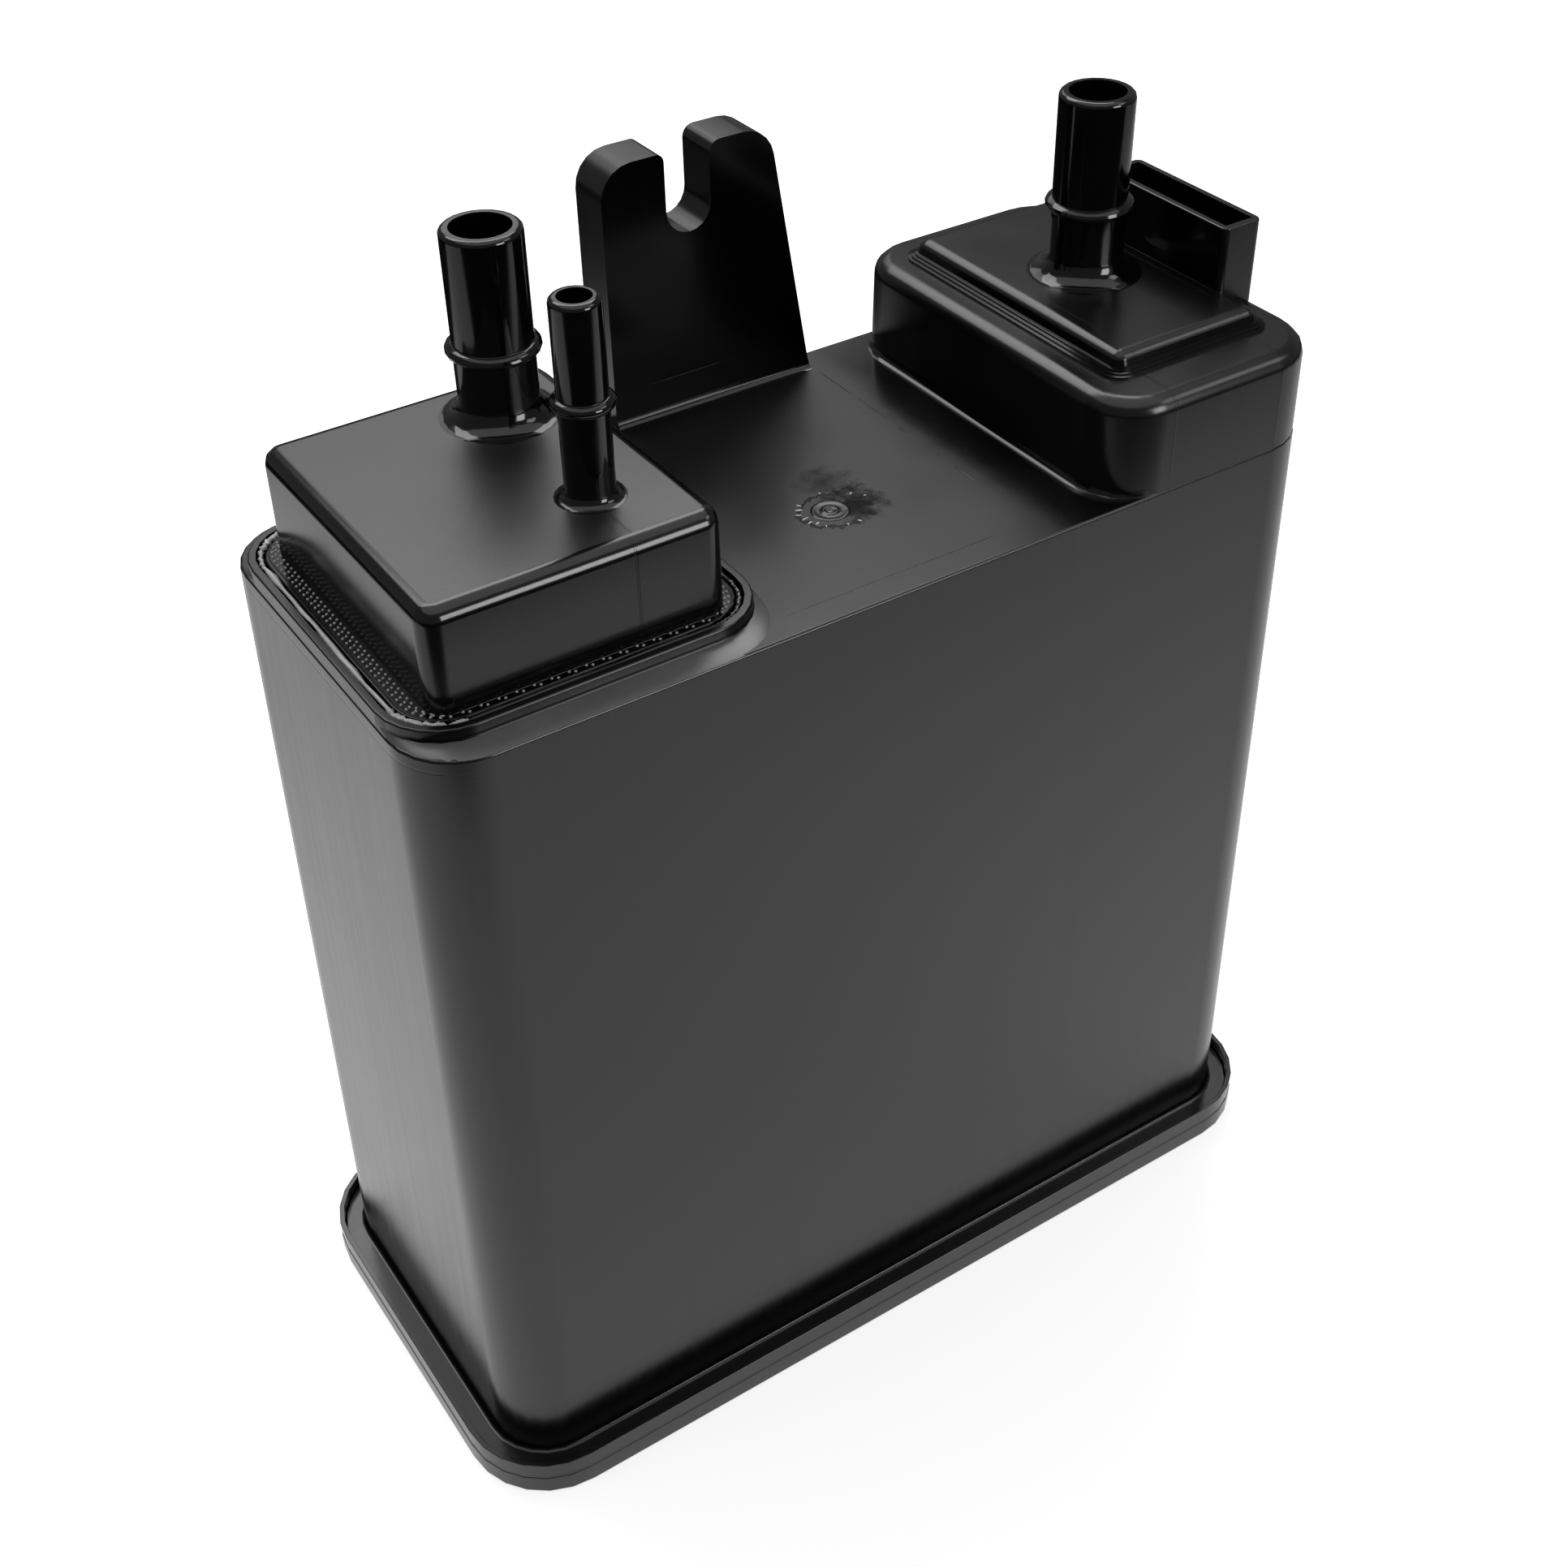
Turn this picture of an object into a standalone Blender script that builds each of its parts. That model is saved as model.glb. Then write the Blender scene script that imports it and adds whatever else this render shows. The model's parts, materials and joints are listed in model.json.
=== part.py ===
# Charcoal canister of a car's fuel vapour system, a black moulded box with three hose ports.
# Metres, +Z up. +X runs along the box towards the vent port, +Y to the mounting tab.
# The origin is the centre of the underside, where the canister stands.

import math

import bmesh
import bpy
from mathutils import Matrix, Vector

# Fits
FIT_GAP = 0.0003            # between pieces that seat on each other
EMBED = 0.0010              # how deep a form starts inside the one it grows from
WITNESS_STEP = 0.00015      # step that a mould parting leaves on a wall

# Main box of the body
BODY_LENGTH = 0.2131        # over the walls, just above the weld flange
BODY_DEPTH = 0.0959
BODY_CORNER_R = 0.0140
WALL_DRAFT = 0.0105         # inward lean of the outer walls, per unit of height
WALL = 0.0025
DECK_HEIGHT = 0.2040        # top of the low part, over the floor
DECK_WALL = 0.0030
DECK_EDGE_R = 0.0006

# Weld flange round the open bottom
FLANGE_WIDTH = 0.0048
FLANGE_THICKNESS = 0.0042
FLANGE_FILLET = 0.0012

# Bottom cover
COVER_FLOOR = 0.0025
COVER_HEIGHT = 0.0099
COVER_RIM_WALL = 0.0014
COVER_EDGE_R = 0.0008
COVER_BAND = 0.0052         # height of the lower band of the rim
COVER_RIB_HEIGHT = 0.0060
COVER_RIB_WALL = 0.0016
COVER_RIB_END_GAP = 0.0200

# Dome over the vent chamber
DOME_LENGTH = 0.0569
DOME_RISE = 0.0210
DOME_CORNER_R = 0.0120
DOME_EDGE_R = 0.0035
DOME_FOOT_R = 0.0018
DOME_DRAFT = 0.0200         # lean of its own wall, over the deck
DOME_WALL = 0.0035

# Raised pad on the dome
PAD_RISE = 0.0042
PAD_FROM_LEFT = 0.0070
PAD_FROM_RIGHT = 0.0062
PAD_FROM_FRONT = 0.0105
PAD_FROM_BACK = 0.0074
PAD_CORNER_R = 0.0050
PAD_STEP_COUNT = 3
PAD_STEP_RISE = 0.0004
PAD_STEP_TREAD = 0.0008
PAD_EDGE_R = 0.0028

# Slot pocket on the right edge of the dome
POCKET_LENGTH = 0.0385
POCKET_WIDTH = 0.0103
POCKET_HEIGHT = 0.0180      # over the dome
POCKET_WALL = 0.0015
POCKET_SETBACK = 0.0009     # from the dome's right wall
POCKET_CENTER_Y = -0.0033
POCKET_CORNER_R = 0.0016
POCKET_EDGE_R = 0.0004
POCKET_FLOOR = 0.0012

# Mouth lip, which takes the port cover
MOUTH_LENGTH = 0.0760
MOUTH_SETBACK = 0.0002      # of the lip from the left wall
MOUTH_LEDGE = 0.0052        # of the lip from the front and back walls
LIP_WALL = 0.0016
LIP_RISE = 0.0034
LIP_CORNER_R = 0.0135
LIP_EDGE_R = 0.0004
LIP_FOOT_R = 0.0016
SEAT_DEPTH = 0.0003         # of the cover's seat under the deck
SEAT_WIDTH = 0.0020         # how far the seat reaches under the cover's flange

# Port cover
FLASH_TRAP = 0.0018         # open groove between lip and flange
COVER_FLANGE_RISE = 0.0030  # its top over the deck
COVER_FLANGE_EDGE_R = 0.0003
CAP_MARGIN_LEFT = 0.0042
CAP_MARGIN_RIGHT = 0.0041
CAP_MARGIN_FRONT = 0.0018
CAP_MARGIN_BACK = 0.0020
CAP_RISE = 0.0243           # its top over the deck
CAP_CORNER_R = 0.0042
CAP_EDGE_R = 0.0030
CAP_DRAFT = 0.0120
CAP_WALL = 0.0022
CAP_DIVIDER_WALL = 0.0020
CAP_DIVIDER_FROM_BACK = 0.0340

# Hose ports: tube radius, bead radius, bore radius and foot radius
TANK_PORT_R = 0.0079
TANK_BEAD_R = 0.0093
TANK_BORE_R = 0.0059
TANK_FOOT_R = 0.0042
TANK_PORT_TOP = 0.0625      # over the deck
TANK_BEAD_HEIGHT = 0.0388
TANK_FROM_RIGHT = 0.0167
TANK_FROM_BACK = 0.0156
PURGE_PORT_R = 0.00475
PURGE_BEAD_R = 0.0060
PURGE_BORE_R = 0.00315
PURGE_FOOT_R = 0.0021
PURGE_PORT_TOP = 0.0634
PURGE_BEAD_HEIGHT = 0.0435
PURGE_FROM_RIGHT = 0.0175
PURGE_FROM_FRONT = 0.0181
VENT_PORT_R = 0.0079
VENT_BEAD_R = 0.00935
VENT_BORE_R = 0.00595
VENT_FOOT_R = 0.0044
VENT_PORT_TOP = 0.0638
VENT_BEAD_HEIGHT = 0.0403
VENT_FROM_RIGHT = 0.0265
VENT_CENTER_Y = 0.0022
PORT_END_R = 0.0011
BEAD_HALF_WIDTH = 0.0012

# Mounting tab at the back
TAB_LEFT_X = -0.0170
TAB_WIDTH = 0.0400          # at its top
TAB_RISE = 0.0572           # over the deck
TAB_TAPER = 0.1600          # lean of its right edge
TAB_INBOARD = 0.0061        # its front face, from the back wall
TAB_THICKNESS = 0.0105
TAB_FACE = 0.0030           # thickness of its front plate
TAB_RIB = 0.0025
TAB_LEFT_EAR_R = 0.0072
TAB_RIGHT_EAR_R = 0.0074
TAB_FOOT_R = 0.0018
NOTCH_FROM_LEFT = 0.0148
NOTCH_WIDTH = 0.0106
NOTCH_DEPTH = 0.0178
NOTCH_LEFT_R = 0.0018
NOTCH_RIGHT_R = 0.0026
TAB_POCKET_R = 0.0015
GUSSET_WALL = 0.0025
GUSSET_DROP = 0.0260
TAB_HEEL = 0.0030           # thickness of the tab's foot behind the wall

# Carbon chambers
PARTITION_FROM_RIGHT = 0.0665
PARTITION_WALL = 0.0020     # at its foot
PARTITION_DRAFT = 0.0045
PARTITION_FOOT = 0.0100     # passage height over the bottom cover's floor
CORE_CORNER_R = 0.0040

# Stack inside each chamber, from the bottom up
SPRING_HEIGHT = 0.0190
SPRING_RADIUS = 0.0110
SPRING_WIRE = 0.0014
SPRING_TURNS = 3.6
SPRING_END_TURN = 0.6
SPRING_SPIGOT_HEIGHT = 0.0030
SPRING_SPIGOT_CLEARANCE = 0.0006
PLATE_THICKNESS = 0.0025
PLATE_SKIRT = 0.0045
PLATE_SKIRT_WALL = 0.0018
PLATE_CLEARANCE = 0.0005
BED_PAD_THICKNESS = 0.0050
GRID_THICKNESS = 0.0020
GRID_STANDOFF = 0.0050
SLOT_LENGTH = 0.0160
SLOT_WIDTH = 0.0030
SLOT_GAP = 0.0070
SLOT_MARGIN = 0.0060

# Facet counts
CORNER_STEPS = 6
ROUND_STEPS = 3
TURNED_STEPS = 24
COIL_STEPS = 9

# Heights that follow from the sizes above
BODY_FOOT = COVER_FLOOR + FIT_GAP
FLANGE_TOP = BODY_FOOT + FLANGE_THICKNESS
ROOF = DECK_HEIGHT - DECK_WALL
DOME_TOP = DECK_HEIGHT + DOME_RISE
PAD_TOP = DOME_TOP + PAD_RISE
LIP_TOP = DECK_HEIGHT + LIP_RISE
SEAT = DECK_HEIGHT - SEAT_DEPTH
CAP_TOP = DECK_HEIGHT + CAP_RISE
SPRING_BASE = COVER_FLOOR + FIT_GAP
PLATE_UNDERSIDE = SPRING_BASE + SPRING_HEIGHT + FIT_GAP
LOW_PAD_BASE = PLATE_UNDERSIDE + PLATE_THICKNESS + FIT_GAP
CARBON_BASE = LOW_PAD_BASE + BED_PAD_THICKNESS + FIT_GAP
GRID_RIM_TOP = ROOF - FIT_GAP
GRID_TOP = GRID_RIM_TOP - GRID_STANDOFF
GRID_UNDERSIDE = GRID_TOP - GRID_THICKNESS
HIGH_PAD_BASE = GRID_UNDERSIDE - FIT_GAP - BED_PAD_THICKNESS
CARBON_TOP = HIGH_PAD_BASE - FIT_GAP


# Scene set-up
for old_object in list(bpy.data.objects):
    bpy.data.objects.remove(old_object)

parts = bpy.data.collections.new("charcoal_canister")
tools = bpy.data.collections.new("cutters_and_joined_forms")
bpy.context.scene.collection.children.link(parts)
bpy.context.scene.collection.children.link(tools)


def make_material(name, color, roughness, metallic=0.0):
    """Principled material with one flat colour."""
    material = bpy.data.materials.new(name)
    material.use_nodes = True
    shader = material.node_tree.nodes["Principled BSDF"]
    shader.inputs["Base Color"].default_value = (*color, 1.0)
    shader.inputs["Roughness"].default_value = roughness
    shader.inputs["Metallic"].default_value = metallic
    material.diffuse_color = (*color, 1.0)
    return material


def mesh_object(name, bm, collection):
    """Object made of a bmesh, with its faces turned outwards."""
    bmesh.ops.recalc_face_normals(bm, faces=bm.faces)
    mesh = bpy.data.meshes.new(name)
    bm.to_mesh(mesh)
    bm.free()
    made = bpy.data.objects.new(name, mesh)
    collection.objects.link(made)
    return made


def mark_tool(tool):
    """Hide a cutter, or a form that is joined to a part."""
    tool.hide_render = True
    tool.display_type = "WIRE"
    return tool


def finish_part(part, material):
    """Material and smooth shading of a finished part."""
    part.data.materials.clear()
    part.data.materials.append(material)
    part.data.shade_smooth()
    part.data.set_sharp_from_angle(angle=math.radians(35))
    return part


def combine(part, tool, operation):
    """Boolean modifier that joins a form to a part, or cuts it out."""
    modifier = part.modifiers.new(operation.lower() + "_" + tool.name, "BOOLEAN")
    modifier.operation = operation
    modifier.solver = "EXACT"
    modifier.object = tool
    mark_tool(tool)


# Rounded rectangles and the blocks lofted through them
class Bounds:
    """Plan of a block: its four sides and its left and right corner radii."""

    def __init__(self, left, right, front, back, left_radius, right_radius):
        self.left = left
        self.right = right
        self.front = front
        self.back = back
        self.left_radius = left_radius
        self.right_radius = right_radius

    def grown(self, offset):
        """The same plan with every side moved outwards."""
        smallest = 0.0002
        return Bounds(self.left - offset, self.right + offset, self.front - offset, self.back + offset,
                      max(self.left_radius + offset, smallest), max(self.right_radius + offset, smallest))

    def ring(self, height):
        """Points of the rounded rectangle, counter-clockwise from the front left corner."""
        corners = (
            (self.left, self.front, self.left_radius, 180),
            (self.right, self.front, self.right_radius, 270),
            (self.right, self.back, self.right_radius, 0),
            (self.left, self.back, self.left_radius, 90),
        )
        points = []
        for x, y, radius, first_angle in corners:
            center_x = x + radius if x == self.left else x - radius
            center_y = y + radius if y == self.front else y - radius
            for step in range(CORNER_STEPS + 1):
                angle = math.radians(first_angle + 90 * step / CORNER_STEPS)
                points.append(Vector((center_x + radius * math.cos(angle),
                                      center_y + radius * math.sin(angle), height)))
        return points


def loft(name, rings, collection=tools):
    """Closed block through rings of equal point count, from the bottom ring to the top one."""
    bm = bmesh.new()
    loops = [[bm.verts.new(point) for point in ring] for ring in rings]
    for lower, upper in zip(loops, loops[1:]):
        for index, vertex in enumerate(lower):
            following = (index + 1) % len(lower)
            bm.faces.new((vertex, lower[following], upper[following], upper[index]))
    bm.faces.new(reversed(loops[0]))
    bm.faces.new(loops[-1])
    return mesh_object(name, bm, collection)


def round_over(radius, top):
    """Offsets and heights of a convex edge radius that ends in a flat top."""
    steps = [step / ROUND_STEPS * math.pi / 2 for step in range(ROUND_STEPS + 1)]
    return [(radius * (math.cos(angle) - 1), top - radius * (1 - math.sin(angle))) for angle in steps]


def foot_fillet(radius, base):
    """Offsets and heights of a concave fillet that rises from a flat base."""
    steps = [step / ROUND_STEPS * math.pi / 2 for step in range(ROUND_STEPS + 1)]
    return [(radius * (1 - math.sin(angle)), base + radius * (1 - math.cos(angle))) for angle in steps]


# Plans that several pieces share
def body_plan(height, inset=0.0):
    """Outer plan of the drafted box at a height."""
    lean = (height - FLANGE_TOP) * WALL_DRAFT
    half_length = BODY_LENGTH / 2 - lean
    half_depth = BODY_DEPTH / 2 - lean
    plan = Bounds(-half_length, half_length, -half_depth, half_depth, BODY_CORNER_R, BODY_CORNER_R)
    return plan.grown(-inset)


DECK_PLAN = body_plan(DECK_HEIGHT)
PARTITION_X = DECK_PLAN.right - PARTITION_FROM_RIGHT
DOME_LEFT = DECK_PLAN.right - DOME_LENGTH


def chamber_plan(side, height, inset=0.0):
    """Plan of a carbon chamber at a height: side is main or vent."""
    plan = body_plan(height, WALL)
    half_partition = PARTITION_WALL / 2 + (height - BODY_FOOT) * PARTITION_DRAFT
    if side == "main":
        plan.right = PARTITION_X - half_partition
        plan.right_radius = CORE_CORNER_R
    else:
        plan.left = PARTITION_X + half_partition
        plan.left_radius = CORE_CORNER_R
    return plan.grown(-inset)


def chamber_block(name, side, base, top, inset, collection=tools):
    """Block that fills a chamber between two heights."""
    rings = [chamber_plan(side, height, inset).ring(height) for height in (base, top)]
    return loft(name, rings, collection)


def lip_plan():
    """Outer plan of the mouth lip."""
    left = DECK_PLAN.left + MOUTH_SETBACK
    half_depth = DECK_PLAN.back - MOUTH_LEDGE
    return Bounds(left, left + MOUTH_LENGTH, -half_depth, half_depth, LIP_CORNER_R, LIP_CORNER_R)


def cover_flange_plan():
    """Plan of the port cover's flange, inside the lip and its flash trap."""
    return lip_plan().grown(-LIP_WALL - FLASH_TRAP)


def cap_plan(height, inset=0.0):
    """Outer plan of the port cover's cap at a height."""
    flange = cover_flange_plan()
    lean = (height - DECK_HEIGHT - COVER_FLANGE_RISE) * CAP_DRAFT
    plan = Bounds(flange.left + CAP_MARGIN_LEFT, flange.right - CAP_MARGIN_RIGHT,
                  flange.front + CAP_MARGIN_FRONT, flange.back - CAP_MARGIN_BACK, CAP_CORNER_R, CAP_CORNER_R)
    return plan.grown(-lean - inset)


# Flat outlines
def rounded_polygon(corners):
    """Outline through corners given as (u, v, radius), each turned into an arc."""
    points = []
    count = len(corners)
    for index, (u, v, radius) in enumerate(corners):
        corner = Vector((u, v))
        if radius <= 0:
            points.append(corner)
            continue
        to_previous = (Vector(corners[index - 1][:2]) - corner).normalized()
        to_next = (Vector(corners[(index + 1) % count][:2]) - corner).normalized()
        half_angle = to_previous.angle(to_next) / 2
        center = corner + (to_previous + to_next).normalized() * (radius / math.sin(half_angle))
        start = corner + to_previous * (radius / math.tan(half_angle)) - center
        sweep = math.pi - 2 * half_angle
        side = 1 if to_previous.x * to_next.y - to_previous.y * to_next.x < 0 else -1
        steps = max(2, math.ceil(math.degrees(sweep) / 18))
        for step in range(steps + 1):
            points.append(center + Matrix.Rotation(side * sweep * step / steps, 2) @ start)
    return points


def extruded_outline(name, outline, thickness, placement):
    """Solid made from a flat curve, its thickness laid evenly to both sides."""
    curve = bpy.data.curves.new(name + "_curve", "CURVE")
    curve.dimensions = "2D"
    curve.fill_mode = "BOTH"
    curve.extrude = thickness / 2
    spline = curve.splines.new("POLY")
    spline.points.add(len(outline) - 1)
    for point, place in zip(spline.points, outline):
        point.co = (place[0], place[1], 0.0, 1.0)
    spline.use_cyclic_u = True
    return curve_to_mesh(name, curve, placement)


def curve_to_mesh(name, curve, placement, collection=tools):
    """Mesh object that takes a curve's shape and place, with its caps welded on."""
    drawn = bpy.data.objects.new(name + "_curve", curve)
    drawn.matrix_world = placement
    tools.objects.link(drawn)
    bpy.context.view_layer.update()
    evaluated = drawn.evaluated_get(bpy.context.evaluated_depsgraph_get())
    bm = bmesh.new()
    mesh = bpy.data.meshes.new_from_object(evaluated)
    bm.from_mesh(mesh)
    bmesh.ops.remove_doubles(bm, verts=bm.verts, dist=0.000001)
    made = mesh_object(name, bm, collection)
    made.matrix_world = drawn.matrix_world.copy()
    bpy.data.objects.remove(drawn)
    bpy.data.meshes.remove(mesh)
    return made


# Placements that stand an outline in the XZ plane and in the YZ plane
def facing_back(y):
    return Matrix.Translation((0, y, 0)) @ Matrix.Rotation(math.radians(90), 4, "X")


def facing_right(x):
    return Matrix.Translation((x, 0, 0)) @ Matrix.Rotation(math.radians(90), 4, "Z") @ Matrix.Rotation(
        math.radians(90), 4, "X")


# Turned forms
def turned(name, profile, center):
    """Form turned about an upright axis from a profile of (radius, height), top to bottom."""
    mesh = bpy.data.meshes.new(name + "_profile")
    vertices = [(radius, 0.0, height) for radius, height in profile]
    edges = [(index, index + 1) for index in range(len(profile) - 1)]
    mesh.from_pydata(vertices, edges, [])
    made = bpy.data.objects.new(name, mesh)
    made.location = (center[0], center[1], 0.0)
    tools.objects.link(made)
    screw = made.modifiers.new("turn", "SCREW")
    screw.steps = TURNED_STEPS
    screw.render_steps = TURNED_STEPS
    screw.use_merge_vertices = True
    screw.merge_threshold = 0.00001
    return made


def port_profile(tube_radius, bead_radius, foot_radius, top, bead_height, base):
    """Profile of a hose port: rounded end, tube, snap bead, tube and flared foot."""
    profile = [(0.0, top)]
    for offset, height in reversed(round_over(PORT_END_R, top)):
        profile.append((tube_radius + offset, height))
    bead_rise = bead_radius - tube_radius
    for step in range(2 * ROUND_STEPS + 1):
        angle = math.pi * step / (2 * ROUND_STEPS)
        profile.append((tube_radius + bead_rise * math.sin(angle), bead_height + BEAD_HALF_WIDTH * math.cos(angle)))
    for offset, height in reversed(foot_fillet(foot_radius, base)):
        profile.append((tube_radius + offset, height))
    profile.append((tube_radius + foot_radius, base - EMBED))
    profile.append((0.0, base - EMBED))
    return profile


def bore_cutter(name, radius, center, base, top):
    """Cylinder that opens a port, from the hollow below to past its end."""
    bm = bmesh.new()
    place = Matrix.Translation((center[0], center[1], (base + top) / 2))
    bmesh.ops.create_cone(bm, cap_ends=True, segments=TURNED_STEPS, radius1=radius, radius2=radius,
                          depth=top - base, matrix=place)
    return mesh_object(name, bm, tools)


def box_into(bm, left, right, front, back, base, top):
    """Plain box added to a bmesh."""
    size = Vector((right - left, back - front, top - base))
    middle = Vector((left + right, front + back, base + top)) / 2
    bmesh.ops.create_cube(bm, size=1.0, matrix=Matrix.Translation(middle) @ Matrix.Diagonal((*size, 1.0)))


# Canister body
def body_shell():
    """Outside of the drafted box, with its weld flange and its square-edged deck."""
    foot_plan = body_plan(FLANGE_TOP)
    rings = [foot_plan.grown(FLANGE_WIDTH).ring(BODY_FOOT), foot_plan.grown(FLANGE_WIDTH).ring(FLANGE_TOP)]
    for offset, height in foot_fillet(FLANGE_FILLET, FLANGE_TOP):
        rings.append(body_plan(height).grown(offset).ring(height))
    for offset, height in round_over(DECK_EDGE_R, DECK_HEIGHT):
        rings.append(body_plan(height).grown(offset).ring(height))
    return loft("canister_body", rings, parts)


def dome_plan(height, offset, left_offset, inset=0.0):
    """Plan of the dome: three walls run on from the box, the left one stands on the deck."""
    plan = body_plan(height, WITNESS_STEP + inset)
    plan.left = DOME_LEFT + inset + max(0.0, height - DECK_HEIGHT) * DOME_DRAFT - left_offset
    plan.left_radius = DOME_CORNER_R - inset + left_offset
    return plan.grown(offset)


def dome():
    rings = [dome_plan(DECK_HEIGHT - EMBED, 0.0, DOME_FOOT_R).ring(DECK_HEIGHT - EMBED)]
    for offset, height in foot_fillet(DOME_FOOT_R, DECK_HEIGHT):
        rings.append(dome_plan(height, 0.0, offset).ring(height))
    for offset, height in round_over(DOME_EDGE_R, DOME_TOP):
        rings.append(dome_plan(height, offset, 0.0).ring(height))
    return loft("dome", rings)


def pad_plan():
    top = dome_plan(DOME_TOP, 0.0, 0.0)
    return Bounds(top.left + PAD_FROM_LEFT, top.right - PAD_FROM_RIGHT, top.front + PAD_FROM_FRONT,
                  top.back - PAD_FROM_BACK, PAD_CORNER_R, PAD_CORNER_R)


def dome_pad():
    """Raised pad with fine steps round its edge, under a rounded top."""
    plan = pad_plan()
    rings = [plan.ring(DOME_TOP - EMBED)]
    offset = 0.0
    height = DOME_TOP
    for step in range(PAD_STEP_COUNT):
        height += PAD_STEP_RISE
        rings.append(plan.grown(offset).ring(height))
        offset -= PAD_STEP_TREAD
        rings.append(plan.grown(offset).ring(height + WITNESS_STEP))
    for round_offset, round_height in round_over(PAD_EDGE_R, PAD_TOP):
        rings.append(plan.grown(offset + round_offset).ring(round_height))
    return loft("dome_pad", rings)


def pocket_plan():
    top = dome_plan(DOME_TOP, 0.0, 0.0)
    right = top.right - POCKET_SETBACK
    return Bounds(right - POCKET_WIDTH, right, POCKET_CENTER_Y - POCKET_LENGTH / 2,
                  POCKET_CENTER_Y + POCKET_LENGTH / 2, POCKET_CORNER_R, POCKET_CORNER_R)


def pocket():
    plan = pocket_plan()
    top = DOME_TOP + POCKET_HEIGHT
    rings = [plan.ring(DOME_TOP - DOME_EDGE_R)]
    for offset, height in round_over(POCKET_EDGE_R, top):
        rings.append(plan.grown(offset).ring(height))
    return loft("slot_pocket", rings)


def pocket_cutter():
    plan = pocket_plan().grown(-POCKET_WALL)
    rings = [plan.ring(PAD_TOP + POCKET_FLOOR), plan.ring(DOME_TOP + POCKET_HEIGHT + EMBED)]
    return loft("slot_pocket_hollow", rings)


def lip_foot_plan(offset):
    """Plan of the lip's fillet, which runs out along the left wall."""
    plan = lip_plan().grown(offset)
    plan.left += offset
    return plan


def mouth_lip():
    plan = lip_plan()
    rings = [lip_foot_plan(LIP_FOOT_R).ring(DECK_HEIGHT - EMBED)]
    for offset, height in foot_fillet(LIP_FOOT_R, DECK_HEIGHT):
        rings.append(lip_foot_plan(offset).ring(height))
    for offset, height in round_over(LIP_EDGE_R, LIP_TOP):
        rings.append(plan.grown(offset).ring(height))
    return loft("mouth_lip", rings)


def mouth_recess():
    plan = lip_plan().grown(-LIP_WALL)
    return loft("mouth_recess", [plan.ring(SEAT), plan.ring(LIP_TOP + EMBED)])


def mouth_opening():
    plan = cover_flange_plan().grown(-SEAT_WIDTH)
    return loft("mouth_opening", [plan.ring(ROOF - EMBED), plan.ring(SEAT + EMBED)])


TAB_FRONT = DECK_PLAN.back - TAB_INBOARD
TAB_BACK = TAB_FRONT + TAB_THICKNESS
TAB_TOP = DECK_HEIGHT + TAB_RISE


def tab_right(height):
    """Right edge of the tab, which leans in as it rises."""
    return TAB_LEFT_X + TAB_WIDTH + (TAB_TOP - height) * TAB_TAPER


def mounting_tab():
    """Notched tab, seen from the front: two ears and a round-bottomed notch."""
    notch_left = TAB_LEFT_X + NOTCH_FROM_LEFT
    notch_right = notch_left + NOTCH_WIDTH
    notch_bottom = TAB_TOP - NOTCH_DEPTH
    notch_r = NOTCH_WIDTH / 2 * 0.999
    foot = DECK_HEIGHT - TAB_HEEL
    outline = rounded_polygon([
        (TAB_LEFT_X, foot, 0.0),
        (tab_right(foot), foot, 0.0),
        (tab_right(TAB_TOP), TAB_TOP, TAB_RIGHT_EAR_R),
        (notch_right, TAB_TOP, NOTCH_RIGHT_R),
        (notch_right, notch_bottom, notch_r),
        (notch_left, notch_bottom, notch_r),
        (notch_left, TAB_TOP, NOTCH_LEFT_R),
        (TAB_LEFT_X, TAB_TOP, TAB_LEFT_EAR_R),
    ])
    return extruded_outline("mounting_tab", outline, TAB_THICKNESS, facing_back((TAB_FRONT + TAB_BACK) / 2))


def tab_pockets():
    """Hollows in the tab's back that leave a plate with a rim and two ribs."""
    notch_left = TAB_LEFT_X + NOTCH_FROM_LEFT
    notch_right = notch_left + NOTCH_WIDTH
    low = DECK_HEIGHT + TAB_RIB
    high = TAB_TOP - TAB_RIB
    notch_low = TAB_TOP - NOTCH_DEPTH - TAB_RIB
    ear_r = max(TAB_LEFT_EAR_R, TAB_RIGHT_EAR_R) - TAB_RIB
    outlines = {
        "left": [(TAB_LEFT_X + TAB_RIB, low, TAB_POCKET_R), (notch_left - TAB_RIB, low, TAB_POCKET_R),
                 (notch_left - TAB_RIB, high, TAB_POCKET_R), (TAB_LEFT_X + TAB_RIB, high, ear_r)],
        "middle": [(notch_left, low, TAB_POCKET_R), (notch_right, low, TAB_POCKET_R),
                   (notch_right, notch_low, TAB_POCKET_R), (notch_left, notch_low, TAB_POCKET_R)],
        "right": [(notch_right + TAB_RIB, low, TAB_POCKET_R), (tab_right(low) - TAB_RIB, low, TAB_POCKET_R),
                  (tab_right(high) - TAB_RIB, high, ear_r), (notch_right + TAB_RIB, high, TAB_POCKET_R)],
    }
    depth = TAB_THICKNESS - TAB_FACE + EMBED
    middle = TAB_FRONT + TAB_FACE + depth / 2
    return [extruded_outline("tab_hollow_" + name, rounded_polygon(corners), depth, facing_back(middle))
            for name, corners in outlines.items()]


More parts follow.
